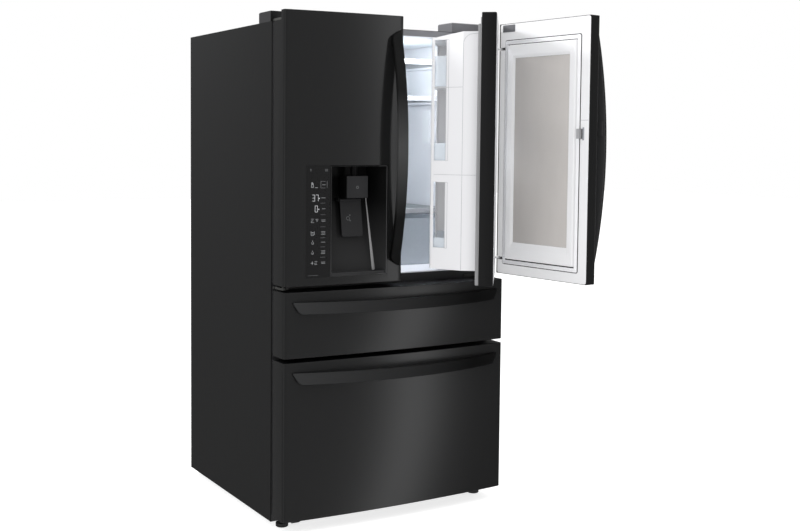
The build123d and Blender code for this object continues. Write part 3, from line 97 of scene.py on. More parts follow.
# ---- Materials ----
def material(name, colour, rough, metal=0.0, **more):
    """Principled material with fine noise in its colour, roughness and bump."""
    m = bpy.data.materials.new(name)
    m.use_nodes = True
    tree = m.node_tree
    shader = tree.nodes["Principled BSDF"]
    shader.inputs["Metallic"].default_value = metal
    for key, value in more.get("sockets", {}).items():
        shader.inputs[key].default_value = value
    place = tree.nodes.new("ShaderNodeTexCoord")
    mapping = tree.nodes.new("ShaderNodeMapping")
    mapping.inputs["Scale"].default_value = more.get("stretch", (1, 1, 1))
    tree.links.new(place.outputs["Object"], mapping.inputs["Vector"])
    noise = tree.nodes.new("ShaderNodeTexNoise")
    noise.inputs["Scale"].default_value = more.get("grain", 400.0)
    noise.inputs["Detail"].default_value = 3.0
    tree.links.new(mapping.outputs["Vector"], noise.inputs["Vector"])
    spread = more.get("spread", 0.06)
    ramp = tree.nodes.new("ShaderNodeMix")
    ramp.data_type = "RGBA"
    ramp.inputs[6].default_value = [c * (1 - spread) for c in colour] + [1]
    ramp.inputs[7].default_value = [min(1.0, c * (1 + spread)) for c in colour] + [1]
    tree.links.new(noise.outputs["Fac"], ramp.inputs[0])
    tree.links.new(ramp.outputs[2], shader.inputs["Base Color"])
    level = tree.nodes.new("ShaderNodeMapRange")
    level.inputs["To Min"].default_value = rough * 0.9
    level.inputs["To Max"].default_value = min(1.0, rough * 1.1)
    tree.links.new(noise.outputs["Fac"], level.inputs["Value"])
    tree.links.new(level.outputs["Result"], shader.inputs["Roughness"])
    bump = tree.nodes.new("ShaderNodeBump")
    bump.inputs["Strength"].default_value = more.get("bump", 0.04)
    bump.inputs["Distance"].default_value = more.get("depth", 0.0002)
    tree.links.new(noise.outputs["Fac"], bump.inputs["Height"])
    tree.links.new(bump.outputs["Normal"], shader.inputs["Normal"])
    if more.get("upright"):
        grain = tree.nodes.new("ShaderNodeCombineXYZ")
        grain.inputs["Z"].default_value = 1.0
        tree.links.new(grain.outputs["Vector"], shader.inputs["Tangent"])
    return m


def see_through(m, alpha):
    """Make a material partly transparent."""
    m.node_tree.nodes["Principled BSDF"].inputs["Alpha"].default_value = alpha
    return m


def two_tone(m, low_colour, height, axis="Z", soft=0.05):
    """Below a height, or a place along another axis, the material fades to another colour."""
    tree = m.node_tree
    shader = tree.nodes["Principled BSDF"]
    upper = shader.inputs["Base Color"].links[0].from_socket
    place = tree.nodes.new("ShaderNodeTexCoord")
    split = tree.nodes.new("ShaderNodeSeparateXYZ")
    tree.links.new(place.outputs["Object"], split.inputs[0])
    step = tree.nodes.new("ShaderNodeMapRange")
    step.inputs["From Min"].default_value = (height - soft) * MM
    step.inputs["From Max"].default_value = (height + soft) * MM
    tree.links.new(split.outputs[axis], step.inputs["Value"])
    mix = tree.nodes.new("ShaderNodeMix")
    mix.data_type = "RGBA"
    mix.inputs[6].default_value = low_colour + (1,)
    tree.links.new(step.outputs[0], mix.inputs[0])
    tree.links.new(upper, mix.inputs[7])
    tree.links.new(mix.outputs[2], shader.inputs["Base Color"])


def glow(strength, colour=(1, 1, 1, 1)):
    """Shader sockets of a faint emission."""
    return {"Emission Color": colour, "Emission Strength": strength}


def dulled(level):
    """Shader socket of a weaker reflection."""
    return {"Specular IOR Level": level}


steel = material("charcoal_steel", (0.0250, 0.0252, 0.0255), 0.22, 0.65, grain=60.0, stretch=(12, 12, 0.15),
                 spread=0.10, bump=0.03, upright=True, sockets={"Anisotropic": 0.7})
handle_metal = material("handle_steel", (0.026, 0.0264, 0.0272), 0.20, 0.6, grain=90.0,
                        stretch=(3, 3, 3), spread=0.08, bump=0.015)
# Painted sheen: the drawers' handles are painted lighter at the left and dark at the right, standing in for a
# reflection.
drawer_handle = material("drawer_handle", (0.0008, 0.0008, 0.0009), 0.42, grain=90.0, spread=0.08,
                         bump=0.015, sockets=dulled(0.14))
two_tone(drawer_handle, (0.024, 0.0242, 0.0247), -70, "X", soft=350)
# Painted highlight: the left door's handle is painted lighter in its middle than at its ends, standing in for
# a reflection.
door_handle = material("door_handle", (0.004, 0.004, 0.0041), 0.38, grain=90.0, spread=0.08, bump=0.015,
                       sockets=dulled(0.14))
two_tone(door_handle, (0.048, 0.0483, 0.0487), STRAP_MID + 90, soft=110)
two_tone(door_handle, (0.0005, 0.0005, 0.0005), STRAP_MID - 110, soft=130)
# Painted light: a paler copy of the handles' dark finish, for the strap's faces towards the door and its
# button.
strap_side_painted_light = material("strap_side_painted_light", (0.060, 0.0605, 0.062), 0.45, grain=90.0, spread=0.08, bump=0.02)
# Painted shade: the case's front edge, in the fronts' shade, is painted near black, darker than its sides.
case_paint = material("case_paint", (0.0095, 0.0096, 0.0098), 0.5, grain=60.0, stretch=(10, 10, 0.3),
                      spread=0.12, bump=0.05, sockets=dulled(0.25))
two_tone(case_paint, (0.0004, 0.0004, 0.0004), 5.0, "Y")
bare_steel = material("bare_steel", (0.33, 0.34, 0.35), 0.45, 0.8, grain=300.0, spread=0.08)
# Painted light: the liners' white glows faintly, lifting its shade.
white = material("white_liner", (0.55, 0.55, 0.565), 0.32, grain=150.0, spread=0.012, bump=0.01,
                 sockets=glow(0.06))
# Painted light: the outer door's inner panel glows, lifting the shade beside the black frame.
panel_white_glow = material("panel_white_glow", (0.45, 0.45, 0.46), 0.36, grain=150.0, spread=0.012, bump=0.01,
                       sockets=glow(0.27))
inner_white = material("inner_white", (0.82, 0.83, 0.87), 0.35, grain=150.0, spread=0.012, bump=0.01)
trim_white = material("trim_white", (0.43, 0.44, 0.46), 0.28, grain=200.0, spread=0.01, bump=0.01)
# Painted shade: the front rails are pale only at the upper right, where the doors stand open; elsewhere they
# are painted dark as shade.
rail_grey_painted_shade = material("rail_grey_painted_shade", (0.17, 0.172, 0.185), 0.4, grain=500.0)
two_tone(rail_grey_painted_shade, (0.010, 0.010, 0.011), 1700)
two_tone(rail_grey_painted_shade, (0.010, 0.010, 0.011), -200, "X")
# Painted shade: the left hinge cover stands in shade and is painted dark, darkest at its front, a little
# lighter at its side; the right cover keeps the grey.
cover_grey_painted_shade = material("cover_grey_painted_shade", (0.13, 0.131, 0.14), 0.5, grain=700.0, bump=0.12)
two_tone(cover_grey_painted_shade, (0.0015, 0.0015, 0.0016), 0, "X")
two_tone(cover_grey_painted_shade, (0.021, 0.021, 0.022), -HALF + 1.5, "X")
latch_grey = material("latch_grey", (0.30, 0.30, 0.31), 0.45, grain=400.0, bump=0.04)
hinge_grey = material("hinge_grey", (0.11, 0.112, 0.12), 0.45, grain=500.0, bump=0.06)
hinge_black = material("hinge_black", (0.050, 0.050, 0.048), 0.45, 0.2, grain=300.0)
lens = material("lamp_lens", (0.72, 0.74, 0.77), 0.3, grain=200.0, spread=0.01,
                sockets=glow(0.1, (0.92, 0.96, 1, 1)))
shelf_glass = see_through(material("shelf_glass", (0.75, 0.85, 0.86), 0.06, grain=20.0, spread=0.03,
                                   bump=0.0), 0.28)
door_glass = material("door_glass", (0.47, 0.445, 0.425), 0.5, 0.0, grain=6.0, spread=0.05, bump=0.0,
                      stretch=(4, 4, 1))
clear = see_through(material("clear_plastic", (0.80, 0.86, 0.92), 0.10, grain=60.0, spread=0.04,
                             bump=0.01), 0.32)
black_plastic = material("black_plastic", (0.010, 0.010, 0.011), 0.42, grain=700.0, bump=0.08)
frame_black = material("frame_black", (0.0060, 0.0060, 0.0063), 0.45, grain=900.0, bump=0.1,
                       sockets=dulled(0.2))
# Painted shade: the recess is painted dark towards its top and lighter in its lower part.
recess_black_painted_shade = material("recess_black_painted_shade", (0.0028, 0.0028, 0.0029), 0.42, grain=300.0, bump=0.01,
                        sockets=dulled(0.15))
two_tone(recess_black_painted_shade, (0.021, 0.021, 0.0215), RECESS_SHADE, soft=120)
panel_glass = material("panel_glass", (0.0085, 0.0085, 0.0087), 0.28, grain=300.0, bump=0.005,
                       sockets=dulled(0.15))
chute_black = material("chute_black", (0.015, 0.015, 0.016), 0.42, grain=800.0, bump=0.06,
                       sockets=dulled(0.2))
black_paint = material("black_paint", (0.015, 0.015, 0.015), 0.35, grain=200.0)
coil = material("coil_aluminium", (0.7, 0.71, 0.72), 0.35, 1.0, grain=300.0)
zinc = material("zinc_steel", (0.5, 0.51, 0.52), 0.32, 1.0, grain=200.0)
foam = material("foam", (0.8, 0.72, 0.5), 0.9, grain=200.0, bump=0.3)
gasket_grey = material("gasket_grey", (0.72, 0.72, 0.735), 0.55, grain=400.0, bump=0.05)
lip_grey = material("lip_grey", (0.21, 0.21, 0.215), 0.55, grain=400.0, bump=0.05)
gasket_dark = material("gasket_dark", (0.03, 0.03, 0.032), 0.6, grain=400.0, bump=0.05)
seam_grey = material("seam_grey", (0.25, 0.26, 0.28), 0.6, grain=300.0)
seam_dark = material("seam_dark", (0.02, 0.02, 0.022), 0.6, grain=300.0)
pale_mark = material("pale_mark", (0.60, 0.61, 0.63), 0.5, grain=300.0, spread=0.02,
                     sockets=glow(0.2, (0.85, 0.88, 0.9, 1)))
mid_mark = material("mid_mark", (0.34, 0.35, 0.36), 0.5, grain=300.0, spread=0.02)
rim_grey = material("rim_grey", (0.065, 0.065, 0.067), 0.3, grain=300.0, spread=0.04)
dim_mark = material("dim_mark", (0.16, 0.165, 0.17), 0.5, grain=300.0, spread=0.02)
highlight_grey = material("highlight_grey", (0.24, 0.24, 0.242), 0.35, grain=300.0, spread=0.05)
foot_rubber = material("foot_rubber", (0.012, 0.012, 0.012), 0.6, grain=500.0, bump=0.1)
valve_plastic = material("valve_plastic", (0.7, 0.71, 0.72), 0.4, grain=300.0)

for node, m in {
    "case_wrapper": case_paint, "rear_panel": bare_steel, "base_pan": bare_steel,
    "compressor_cover": bare_steel, "case_insulation": foam, "fridge_liner": inner_white,
    "drawer_liners": inner_white, "front_rails": rail_grey_painted_shade, "hinge_covers": cover_grey_painted_shade,
    "door_hinges": hinge_black, "air_duct_panel": inner_white, "lamp_covers": lens,
    "shelf_glass": shelf_glass, "shelf_frames": trim_white, "left_crisper": clear,
    "right_crisper": clear, "control_box": black_plastic, "compressor": black_paint,
    "coils_and_fan_motors": coil, "condenser_fan": black_plastic, "evaporator_fan": valve_plastic,
    "water_valve_and_filter": valve_plastic, "fixed_rails": zinc, "left_leg": foot_rubber,
    "right_leg": foot_rubber, "front_rollers": black_plastic, "rear_rollers": black_plastic,
    "left_door_skin": steel, "left_door_liner": white, "left_door_gasket": gasket_dark,
    "left_door_bins": clear, "left_door_handle": door_handle, "ice_maker": white,
    "dispenser_housing": recess_black_painted_shade, "dispenser_paddle": chute_black, "drip_tray": black_plastic,
    "control_panel": panel_glass, "mullion_flipper": gasket_dark, "right_door_frame": frame_black,
    "right_bin_case": white, "right_door_baskets": clear, "right_door_gasket": gasket_grey,
    "outer_door_hinges": valve_plastic, "outer_door_skin": steel, "outer_door_liner": white,
    "outer_door_glass": door_glass, "outer_door_gasket": gasket_grey, "outer_door_handle": handle_metal,
    "latch_hook": latch_grey, "handle_button": strap_side_painted_light, "middle_drawer_skin": steel,
    "middle_drawer_liner": white, "middle_drawer_gasket": gasket_dark,
    "middle_drawer_handle": drawer_handle, "middle_drawer_box": clear, "freezer_drawer_skin": steel,
    "freezer_drawer_liner": white, "freezer_drawer_gasket": gasket_dark,
    "freezer_drawer_handle": drawer_handle, "freezer_drawer_box": clear,
}.items():
    for s in frame["nodes"][node].material_slots:
        s.material = m


# ---- Mesh helpers ----
def piece(name, verts, faces, body, mats, where=CLOSED, replaces=(), slot=None, sharp=30.0, tags=None):
    """Make an object from millimetre points, put it in place and ride it on a body."""
    mesh = bpy.data.meshes.new(name)
    mesh.from_pydata([where @ (Vector(v) * MM) for v in verts], [], faces)
    bm = bmesh.new()
    bm.from_mesh(mesh)
    bmesh.ops.recalc_face_normals(bm, faces=bm.faces)
    bm.to_mesh(mesh)
    bm.free()
    for p in mesh.polygons:
        p.use_smooth = True
    mesh.set_sharp_from_angle(angle=math.radians(sharp))
    o = bpy.data.objects.new(name, mesh)
    bpy.context.scene.collection.objects.link(o)
    for m in mats if isinstance(mats, (list, tuple)) else [mats]:
        mesh.materials.append(m)
    if tags:
        for p, t in zip(mesh.polygons, tags):
            p.material_index = t
    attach(o, body)
    if replaces:
        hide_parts(*replaces)
    return o


def cut(o, boxes, sharp=30.0):
    """Cut boxes, given in the object's own place in metres, out of a closed piece."""
    for verts, faces in boxes:
        mesh = bpy.data.meshes.new("cutter")
        mesh.from_pydata(verts, [], faces)
        c = bpy.data.objects.new("cutter", mesh)
        bpy.context.scene.collection.objects.link(c)
        mod = o.modifiers.new("cut", "BOOLEAN")
        mod.object, mod.operation, mod.solver = c, "DIFFERENCE", "EXACT"
        done = bpy.data.meshes.new_from_object(o.evaluated_get(bpy.context.evaluated_depsgraph_get()))
        o.modifiers.clear()
        old, o.data = o.data, done
        bpy.data.meshes.remove(old)
        bpy.data.objects.remove(c)
        bpy.data.meshes.remove(mesh)
    o.data.set_sharp_from_angle(angle=math.radians(sharp))


BOX_FACES = [(0, 1, 3, 2), (4, 6, 7, 5), (0, 4, 5, 1), (2, 3, 7, 6), (0, 2, 6, 4), (1, 5, 7, 3)]


def box_points(x0, x1, y0, y1, z0, z1):
    return [(x, y, z) for x in (x0, x1) for y in (y0, y1) for z in (z0, z1)]


def cutter(x0, x1, y0, y1, z0, z1, where=CLOSED):
    return [where @ (Vector(p) * MM) for p in box_points(x0, x1, y0, y1, z0, z1)], BOX_FACES


def soft_box(name, x0, x1, y0, y1, z0, z1, r, body, m, where=CLOSED, **more):
    """A box with rounded edges."""
    bm = bmesh.new()
    vs = [bm.verts.new(p) for p in box_points(x0, x1, y0, y1, z0, z1)]
    for f in BOX_FACES:
        bm.faces.new([vs[i] for i in f])
    bmesh.ops.recalc_face_normals(bm, faces=bm.faces)
    bmesh.ops.bevel(bm, geom=bm.edges[:], offset=r, segments=3, affect="EDGES", profile=0.5)
    bm.verts.ensure_lookup_table()
    bm.verts.index_update()
    verts = [v.co[:] for v in bm.verts]
    faces = [[v.index for v in f.verts] for f in bm.faces]
    bm.free()
    return piece(name, verts, faces, body, m, where, **more)


def grid(rows, closed=False):
    """Faces that join equal rows of points; closed joins each row's ends."""
    n = len(rows[0])
    faces = []
    for i in range(len(rows) - 1):
        for j in range(n if closed else n - 1):
            k = (j + 1) % n
            faces.append((i * n + j, i * n + k, (i + 1) * n + k, (i + 1) * n + j))
    return [p for r in rows for p in r], faces


def tube_grid(rows):
    """Closed rows joined to each other, and the last row to the first."""
    verts, faces = grid(rows + rows[:1], closed=True)
    last = len(verts) - len(rows[0])
    return verts[:last], [tuple(v - last if v >= last else v for v in f) for f in faces]


def capped_grid(rows):
    """Closed rows joined to each other, with a face over the first and over the last."""
    verts, faces = grid(rows, closed=True)
    n, total = len(rows[0]), len(verts)
    return verts, faces + [tuple(range(n)), tuple(range(total - n, total))]


def quarter(cx, cy, rx, ry, start, steps=6):
    """Points of a quarter turn."""
    angles = [math.radians(start + 90 * k / steps) for k in range(steps + 1)]
    return [(cx + rx * math.cos(a), cy + ry * math.sin(a)) for a in angles]


def rect_loop(x0, x1, z0, z1, inset, radius, y, steps=5):
    """Rounded rectangle in the XZ plane, drawn in by inset."""
    r = max(radius - inset, 0.05)
    pts = []
    for cx, cz, start in ((x1 - inset - r, z0 + inset + r, -90), (x1 - inset - r, z1 - inset - r, 0),
                          (x0 + inset + r, z1 - inset - r, 90), (x0 + inset + r, z0 + inset + r, 180)):
        pts += [(x, y, z) for x, z in quarter(cx, cz, r, r, start, steps)]
    return pts


def frame_sweep(name, x0, x1, z0, z1, radius, profile, body, m, where=CLOSED, bowed=False, **more):
    """Sweep a closed profile of (inset, y) round a rectangle."""
    rows = [rect_loop(x0, x1, z0, z1, i, radius, y) for i, y in profile]
    if bowed:
        rows = [[(px, py + bow(px), pz) for px, py, pz in r] for r in rows]
    verts, faces = tube_grid(rows)
    return piece(name, verts, faces, body, m, where, **more)


# ---- Fronts ----
EDGE = 2.2  # rounding of the fronts' top and bottom edges
CORNER_R = 9.0  # rounding of their upright edges
BACK_STEP = 0.8  # the fronts reach this far behind the seals' plane


def front_plan(x0, x1, y_back, inset, back_corner=0.0):
    """Plan of a front, from its back left corner round to its back right corner."""
    r = CORNER_R
    pts = [(x0 + inset, y_back)] + quarter(x0 + r, bow(x0 + r) + r, r - inset, r - inset, 180)
    n = max(12, int((x1 - x0) / 12))
    for k in range(1, n):
        x = x0 + r + (x1 - x0 - 2 * r) * k / n
        pts.append((x, bow(x) + inset))
    pts += quarter(x1 - r, bow(x1 - r) + r, r - inset, r - inset, 270)
    if back_corner:
        pts += quarter(x1 - back_corner, y_back - back_corner, back_corner - inset, back_corner, 0)
    else:
        pts.append((x1 - inset, y_back))
    return pts


def front(name, x0, x1, z0, z1, y_back, body, node, where=CLOSED, back_corner=0.0):
    """Bowed steel front with rounded edges, in place of a node."""
    levels = []
    for k in range(5):
        a = math.radians(22.5 * k)
        levels.append((z0 + EDGE * (1 - math.cos(a)), EDGE * (1 - math.sin(a))))
    levels += [(z0 + z1 - z, i) for z, i in reversed(levels)]
    rows = [[(x, y, z) for x, y in front_plan(x0, x1, y_back, i, back_corner)] for z, i in levels]
    verts, faces = capped_grid(rows)
    return piece(name, verts, faces, body, steel, where, replaces=(node,), slot="charcoal_steel")


def shade_top(o):
    """Darken a front's top face, which lies in the shade of what is above it."""
    o.data.materials.append(frame_black)
    for p in o.data.polygons:
        if p.normal.z > 0.9:
            p.material_index = 1


FRONT_BACK = -STANDOFF - BACK_STEP
for drawer, z0, z1 in (("middle", MID_Z0, MID_Z1), ("freezer", LOW_Z0, LOW_Z1)):
    shade_top(front(drawer + "_front", -HALF, HALF, z0, z1, FRONT_BACK, drawer + "_drawer",
                    drawer + "_drawer_skin"))


def pin_hole(x, half, z0, z1, where=CLOSED):
    """Cutter for a square pocket round a door hinge's pin."""
    return cutter(x - half, x + half, PIN_Y - half, PIN_Y + half, z0, z1, where)


# The dispenser's opening in the left front, a hair wider than the panel and housing in it.
SLIT = 0.3
DX0, DX1 = corners("control_panel")[0] - SLIT, corners("dispenser_housing")[3] + SLIT
DZ0, DZ1 = corners("control_panel")[2] - SLIT, corners("control_panel")[5] + SLIT
DISPENSER_BACK = -26
left = front("left_door_front", -HALF, -FREE_X, DOOR_Z0, DOOR_Z1, FRONT_BACK, "left_door", "left_door_skin")
cut(left, [cutter(-HALF - 2, -HINGE_X + NOTCH_SIDE, -68, 0, NOTCH_Z, DOOR_Z1 + 5),
           pin_hole(-HINGE_X, 5.2, DOOR_Z0 - 1, DOOR_Z0 + PIN_DEPTH),
           cutter(DX0, DX1, -DEPTH - 20, DISPENSER_BACK, DZ0, DZ1)])
right = front("outer_door_front", FREE_X, HALF, DOOR_Z0, DOOR_Z1, OUTER_BACK - BACK_STEP, "outer_door",
              "outer_door_skin", OUTER, back_corner=12.0)
# Slots in the outer door's edge for its two hinges' arms.
ARM_LEVELS = [round(DOOR_Z0 + 48), round(NOTCH_Z - 66)]
ARM_SLOTS = [cutter(416, HALF + 3, -87, -60, z + 4, z + 14, OUTER) for z in ARM_LEVELS]
cut(right, ARM_SLOTS)


# ---- Handles ----
STRAP_WIDE, STRAP_THICK = 40.0, 9.0
STRAP_PROUD, STRAP_END_PROUD = 63.0, 10.0  # how far a strap stands before the front, mid-way and at its ends
STRAP_SLANT = 24.0  # its ends are cut at a slant
STRAP_SIDE, STRAP_DROP = 30.0, 33.0  # a drawer's strap, from the front's sides and from its top
FOOT_HALF, FOOT_INSET = 15, 22  # half a foot's size, and its distance from the strap's end


def soften(d, r):
    """How far a rounded edge of radius r falls back at a distance d from the edge."""
    return r - math.sqrt(max(0.0, r * r - (r - d) ** 2)) if d < r else 0.0


def strap_points(length, face_mid, face_end):
    """A bowed strap along X with softened edges: its points, its faces, and Y of its inner face."""
    wide, thick = STRAP_WIDE, STRAP_THICK
    rise = face_mid + STRAP_PROUD - (face_end + STRAP_END_PROUD)
    radius = ((length / 2) ** 2 + rise**2) / (2 * rise)
    centre = radius - face_mid - STRAP_PROUD
    # Rows are dense near the edges, where the face is rounded.
    w_steps = [0, 0.3, 0.8, 1.5, 2.5, 4, 6, 9, 13, 20]
    ws = [-wide / 2 + s for s in w_steps] + [wide / 2 - s for s in reversed(w_steps[:-1])]
    s_edge = [0, 0.3, 0.8, 1.5, 2.5, 4, 6, 10, 16]
    n = 90

    def reach(w):
        """Half the strap's length at a place across its width."""
        d_low, d_high = w + wide / 2, wide / 2 - w
        back = STRAP_SLANT * d_high / wide
        return length / 2 - back - soften(d_high, 7.0) * 0.9 - soften(d_low, 12.0)

    front_rows, back_rows = [], []
    for w in ws:
        end = reach(w)
        ss = [-end + s for s in s_edge]
        span = 2 * (end - s_edge[-1])
        ss += [-end + s_edge[-1] + span * k / n for k in range(1, n)]
        ss += [end - s for s in reversed(s_edge)]
        dw = min(w + wide / 2, wide / 2 - w)
        fr, bk = [], []
        for s in ss:
            ds = end - abs(s)
            y = centre - math.sqrt(radius**2 - s * s)
            # The front's edges are rounder than the back's.
            fr.append((s, y + min(soften(dw, 3.2) + soften(ds, 3.2), 5.0), w))
            bk.append((s, y + thick - min(soften(dw, 2.0) + soften(ds, 2.0), 3.5), w))
        front_rows.append(fr)
        back_rows.append(bk)
    verts, faces = grid(front_rows)
    more, back_faces = grid(back_rows)
    shift, n1, n0 = len(verts), len(front_rows[0]), len(front_rows)
    verts += more
    faces += [tuple(v + shift for v in reversed(f)) for f in back_faces]
    # The two faces' outlines, in order, are joined by the strap's edge.
    ring = list(range(n1)) + [i * n1 + n1 - 1 for i in range(1, n0)]
    ring += [(n0 - 1) * n1 + j for j in range(n1 - 2, -1, -1)] + [i * n1 for i in range(n0 - 2, 0, -1)]
    for a, b in zip(ring, ring[1:] + ring[:1]):
        faces.append((a, b, b + shift, a + shift))
    return verts, faces, lambda s: centre - math.sqrt((radius - thick) ** 2 - s * s)


def rounded_block(x0, x1, y0, y1, z0, z1, r=3.0, steps=3):
    """Points and faces of a block whose four edges along Y are rounded."""
    return capped_grid([rect_loop(x0, x1, z0, z1, 0, r, y, steps) for y in (y0, y1)])


def merge(*parts):
    """Join pairs of points and faces into one pair."""
    verts, faces = [], []
    for v, f in parts:
        shift = len(verts)
        verts += v
        faces += [tuple(i + shift for i in face) for face in f]
    return verts, faces


def strap_handle(name, length, face_at, body, node, place, where=CLOSED, finish=handle_metal):
    """A strap with two feet; place maps the strap's own axes to the closed frame."""
    mid, end = -face_at(0), -face_at(length / 2)
    verts, faces, inner = strap_points(length, mid, end)
    feet = []
    for side in (-1, 1):
        s = side * (length / 2 - FOOT_INSET - FOOT_HALF)
        feet.append(rounded_block(s - FOOT_HALF, s + FOOT_HALF, inner(s) - 3, face_at(s), -FOOT_HALF,
                                  FOOT_HALF))
    verts, faces = merge((verts, faces), *feet)
    verts = [place(*v) for v in verts]
    return piece(name, verts, faces, body, finish, where, replaces=(node,), slot="handle_steel",
                 sharp=50)


def drawer_strap(name, z_top, body, node):
    """Handle across a drawer's front."""
    z = z_top - STRAP_DROP - STRAP_WIDE / 2
    strap_handle(name, 2 * (HALF - STRAP_SIDE), bow, body, node, lambda s, y, w: (s, y, z + w),
                 finish=drawer_handle)


for drawer, z_top in (("middle", MID_Z1), ("freezer", LOW_Z1)):
    drawer_strap(drawer + "_strap", z_top, drawer + "_drawer", drawer + "_drawer_handle")
STRAP_FACE = bow(STRAP_X)
strap_handle("left_door_strap", STRAP_Z1 - STRAP_Z0, lambda s: STRAP_FACE, "left_door", "left_door_handle",
             lambda s, y, w: (-STRAP_X + w, y, STRAP_MID + s), finish=door_handle)
outer_strap = strap_handle("outer_door_strap", STRAP_Z1 - STRAP_Z0, lambda s: STRAP_FACE, "outer_door",
                           "outer_door_handle", lambda s, y, w: (STRAP_X - w, y, STRAP_MID + s), OUTER)
# The button sits in a pocket on the strap's inner face. Painted light: that face and the button are painted
# paler than the outer faces, standing in for light that falls on them.
POCKET_WIDE, POCKET_HIGH, POCKET_DEEP = 16.6, 52.6, 5.5
pocket_y = STRAP_FACE - STRAP_PROUD + STRAP_THICK - POCKET_DEEP
cut(outer_strap, [cutter(STRAP_X - POCKET_WIDE / 2, STRAP_X + POCKET_WIDE / 2, pocket_y, STRAP_FACE - 40,
                         BUTTON_Z - POCKET_HIGH / 2, BUTTON_Z + POCKET_HIGH / 2, OUTER)], 50)
outer_strap.data.materials.append(strap_side_painted_light)
towards_door = OUTER.to_3x3() @ Vector((0, 1, 0))
for p in outer_strap.data.polygons:
    if p.normal.dot(towards_door) > 0.7:
        p.material_index = 1


# ---- Right door: inner frame, seals and the outer door's inner side ----
def rect_loft(name, rects, body, mats, where=CLOSED, tags=None, **more):
    """Ring of surfaces through rounded rectangles, each (x0, x1, z0, z1, radius, y); tags name materials."""
    rows = [rect_loop(x0, x1, z0, z1, 0, r, y) for x0, x1, z0, z1, r, y in rects]
    verts, faces = tube_grid(rows)
    marks = [tags[i // len(rows[0])] for i in range(len(faces))] if tags else None
    return piece(name, verts, faces, body, mats, where, tags=marks, **more)


def inset_rect(rect, d, r, y):
    """A row for rect_loft: a rectangle drawn in by d."""
    x0, x1, z0, z1 = rect
    return (x0 + d, x1 - d, z0 + d, z1 - d, r, y)


RAIL = 58  # width of the inner frame's four sides
FRAME = (FREE_X, HALF, DOOR_Z0, DOOR_Z1)
FRAME_HOLE = (FREE_X + RAIL, HALF - RAIL, DOOR_Z0 + RAIL, DOOR_Z1 - RAIL)
frame_shell = rect_loft("right_frame_shell", [
    inset_rect(FRAME, 2.5, 7, -STANDOFF), inset_rect(FRAME, 0.7, 8, -STANDOFF - 0.8),
    inset_rect(FRAME, 0, 9, -STANDOFF - 3), inset_rect(FRAME, 0, 9, FRAME_FRONT + 5),
    inset_rect(FRAME, 1.2, 8, FRAME_FRONT + 1.5), inset_rect(FRAME, 4.5, 6, FRAME_FRONT),
    inset_rect(FRAME, 5.5, 6, FRAME_FRONT), inset_rect(FRAME_HOLE, -2, 4, FRAME_FRONT),
    inset_rect(FRAME_HOLE, 0, 2, FRAME_FRONT + 2), inset_rect(FRAME_HOLE, 0, 2, -STANDOFF)],
    "right_door", [frame_black, white], INNER, tags=[0, 0, 0, 0, 0, 0, 1, 1, 1, 1],
    replaces=("right_door_frame",), slot="dark_plastic")
# The notch for the hinge, the latch's pocket and the two pins' holes.
cut(frame_shell, [
    cutter(HINGE_X - NOTCH_SIDE, HALF + 2, -64, -10, NOTCH_Z, DOOR_Z1 + 5, INNER),
    cutter(27, 44, FRAME_FRONT - 2, FRAME_FRONT + 18, BUTTON_Z - 38, BUTTON_Z, INNER),
    pin_hole(HINGE_X, 5.1, DOOR_Z0 - 1, DOOR_Z0 + PIN_DEPTH, INNER),
    pin_hole(HINGE_X, 5.1, NOTCH_Z - PIN_DEPTH, NOTCH_Z + 1, INNER)])
frame_sweep("frame_back_lip", FREE_X + 3, HINGE_X - NOTCH_SIDE - 2, DOOR_Z0 + 30, DOOR_Z1 - 17, 5,
            [(0, -STANDOFF - 0.5), (0, -STANDOFF + 2), (1, -STANDOFF + 3), (5.5, -STANDOFF + 3),
             (5.5, -STANDOFF - 0.5)], "right_door", lip_grey, INNER, slot="white_liner")

PANEL = (FREE_X + 1.5, HALF - 12, DOOR_Z0 + 1.5, DOOR_Z1 - 1.5)
SEAT = (FREE_X + 42.5, HALF - 42.5, DOOR_Z0 + 39.5, DOOR_Z1 - 63)  # the outer door's seal lies here
RAISED = (SEAT[0], SEAT[1], SEAT[2] + 2.5, SEAT[3])  # inside the seat, clear of the frame when it closes
GLASS = tuple(corners("outer_door_glass")[i] for i in (2, 5))
GX0, GX1 = FREE_X + 92.5, HALF - 92.5
SEAL_GAP = 0.3  # a seal stops this short of what it closes on
SEAL_PROFILE = [(0.4, 0), (0, 0.5), (0.6, 0.85), (2.2, 1), (4.6, 1), (5.8, 0.7), (6.6, 0.62), (7.4, 0.7),
                (8.6, 1), (11.6, 1), (13.4, 0.8), (14, 0.45), (13.5, 0)]  # inset, share of the depth


def node_rect(node):
    """A node's box seen from the front."""
    box = corners(node)
    return box[0], box[3], box[2], box[5]


def seal(name, node, body, rect, m, base=-STANDOFF, tip=-SEAL_GAP, where=CLOSED):
    """A magnetic seal round a rectangle: two soft ridges with a groove between."""
    frame_sweep(name, *rect, 5, [(i, base + (tip - base) * t) for i, t in SEAL_PROFILE], body, m, where,
                replaces=(node,), slot="grey_gasket")


seal("left_seal", "left_door_gasket", "left_door",
     (-HINGE_X + 5, -FREE_X - 8, DOOR_Z0 + 3, CASE_TOP - 6), gasket_dark)
seal("right_seal", "right_door_gasket", "right_door",
     (FREE_X + 8, HINGE_X - 5, DOOR_Z0 + 3, CASE_TOP - 6), lip_grey, where=INNER)
seal("outer_seal", "outer_door_gasket", "outer_door", SEAT, gasket_grey, OUTER_BACK, FRAME_FRONT - SEAL_GAP,
     OUTER)
for drawer in ("middle", "freezer"):
    gasket = drawer + "_drawer_gasket"
    seal(drawer + "_seal", gasket, drawer + "_drawer", node_rect(gasket), gasket_dark)

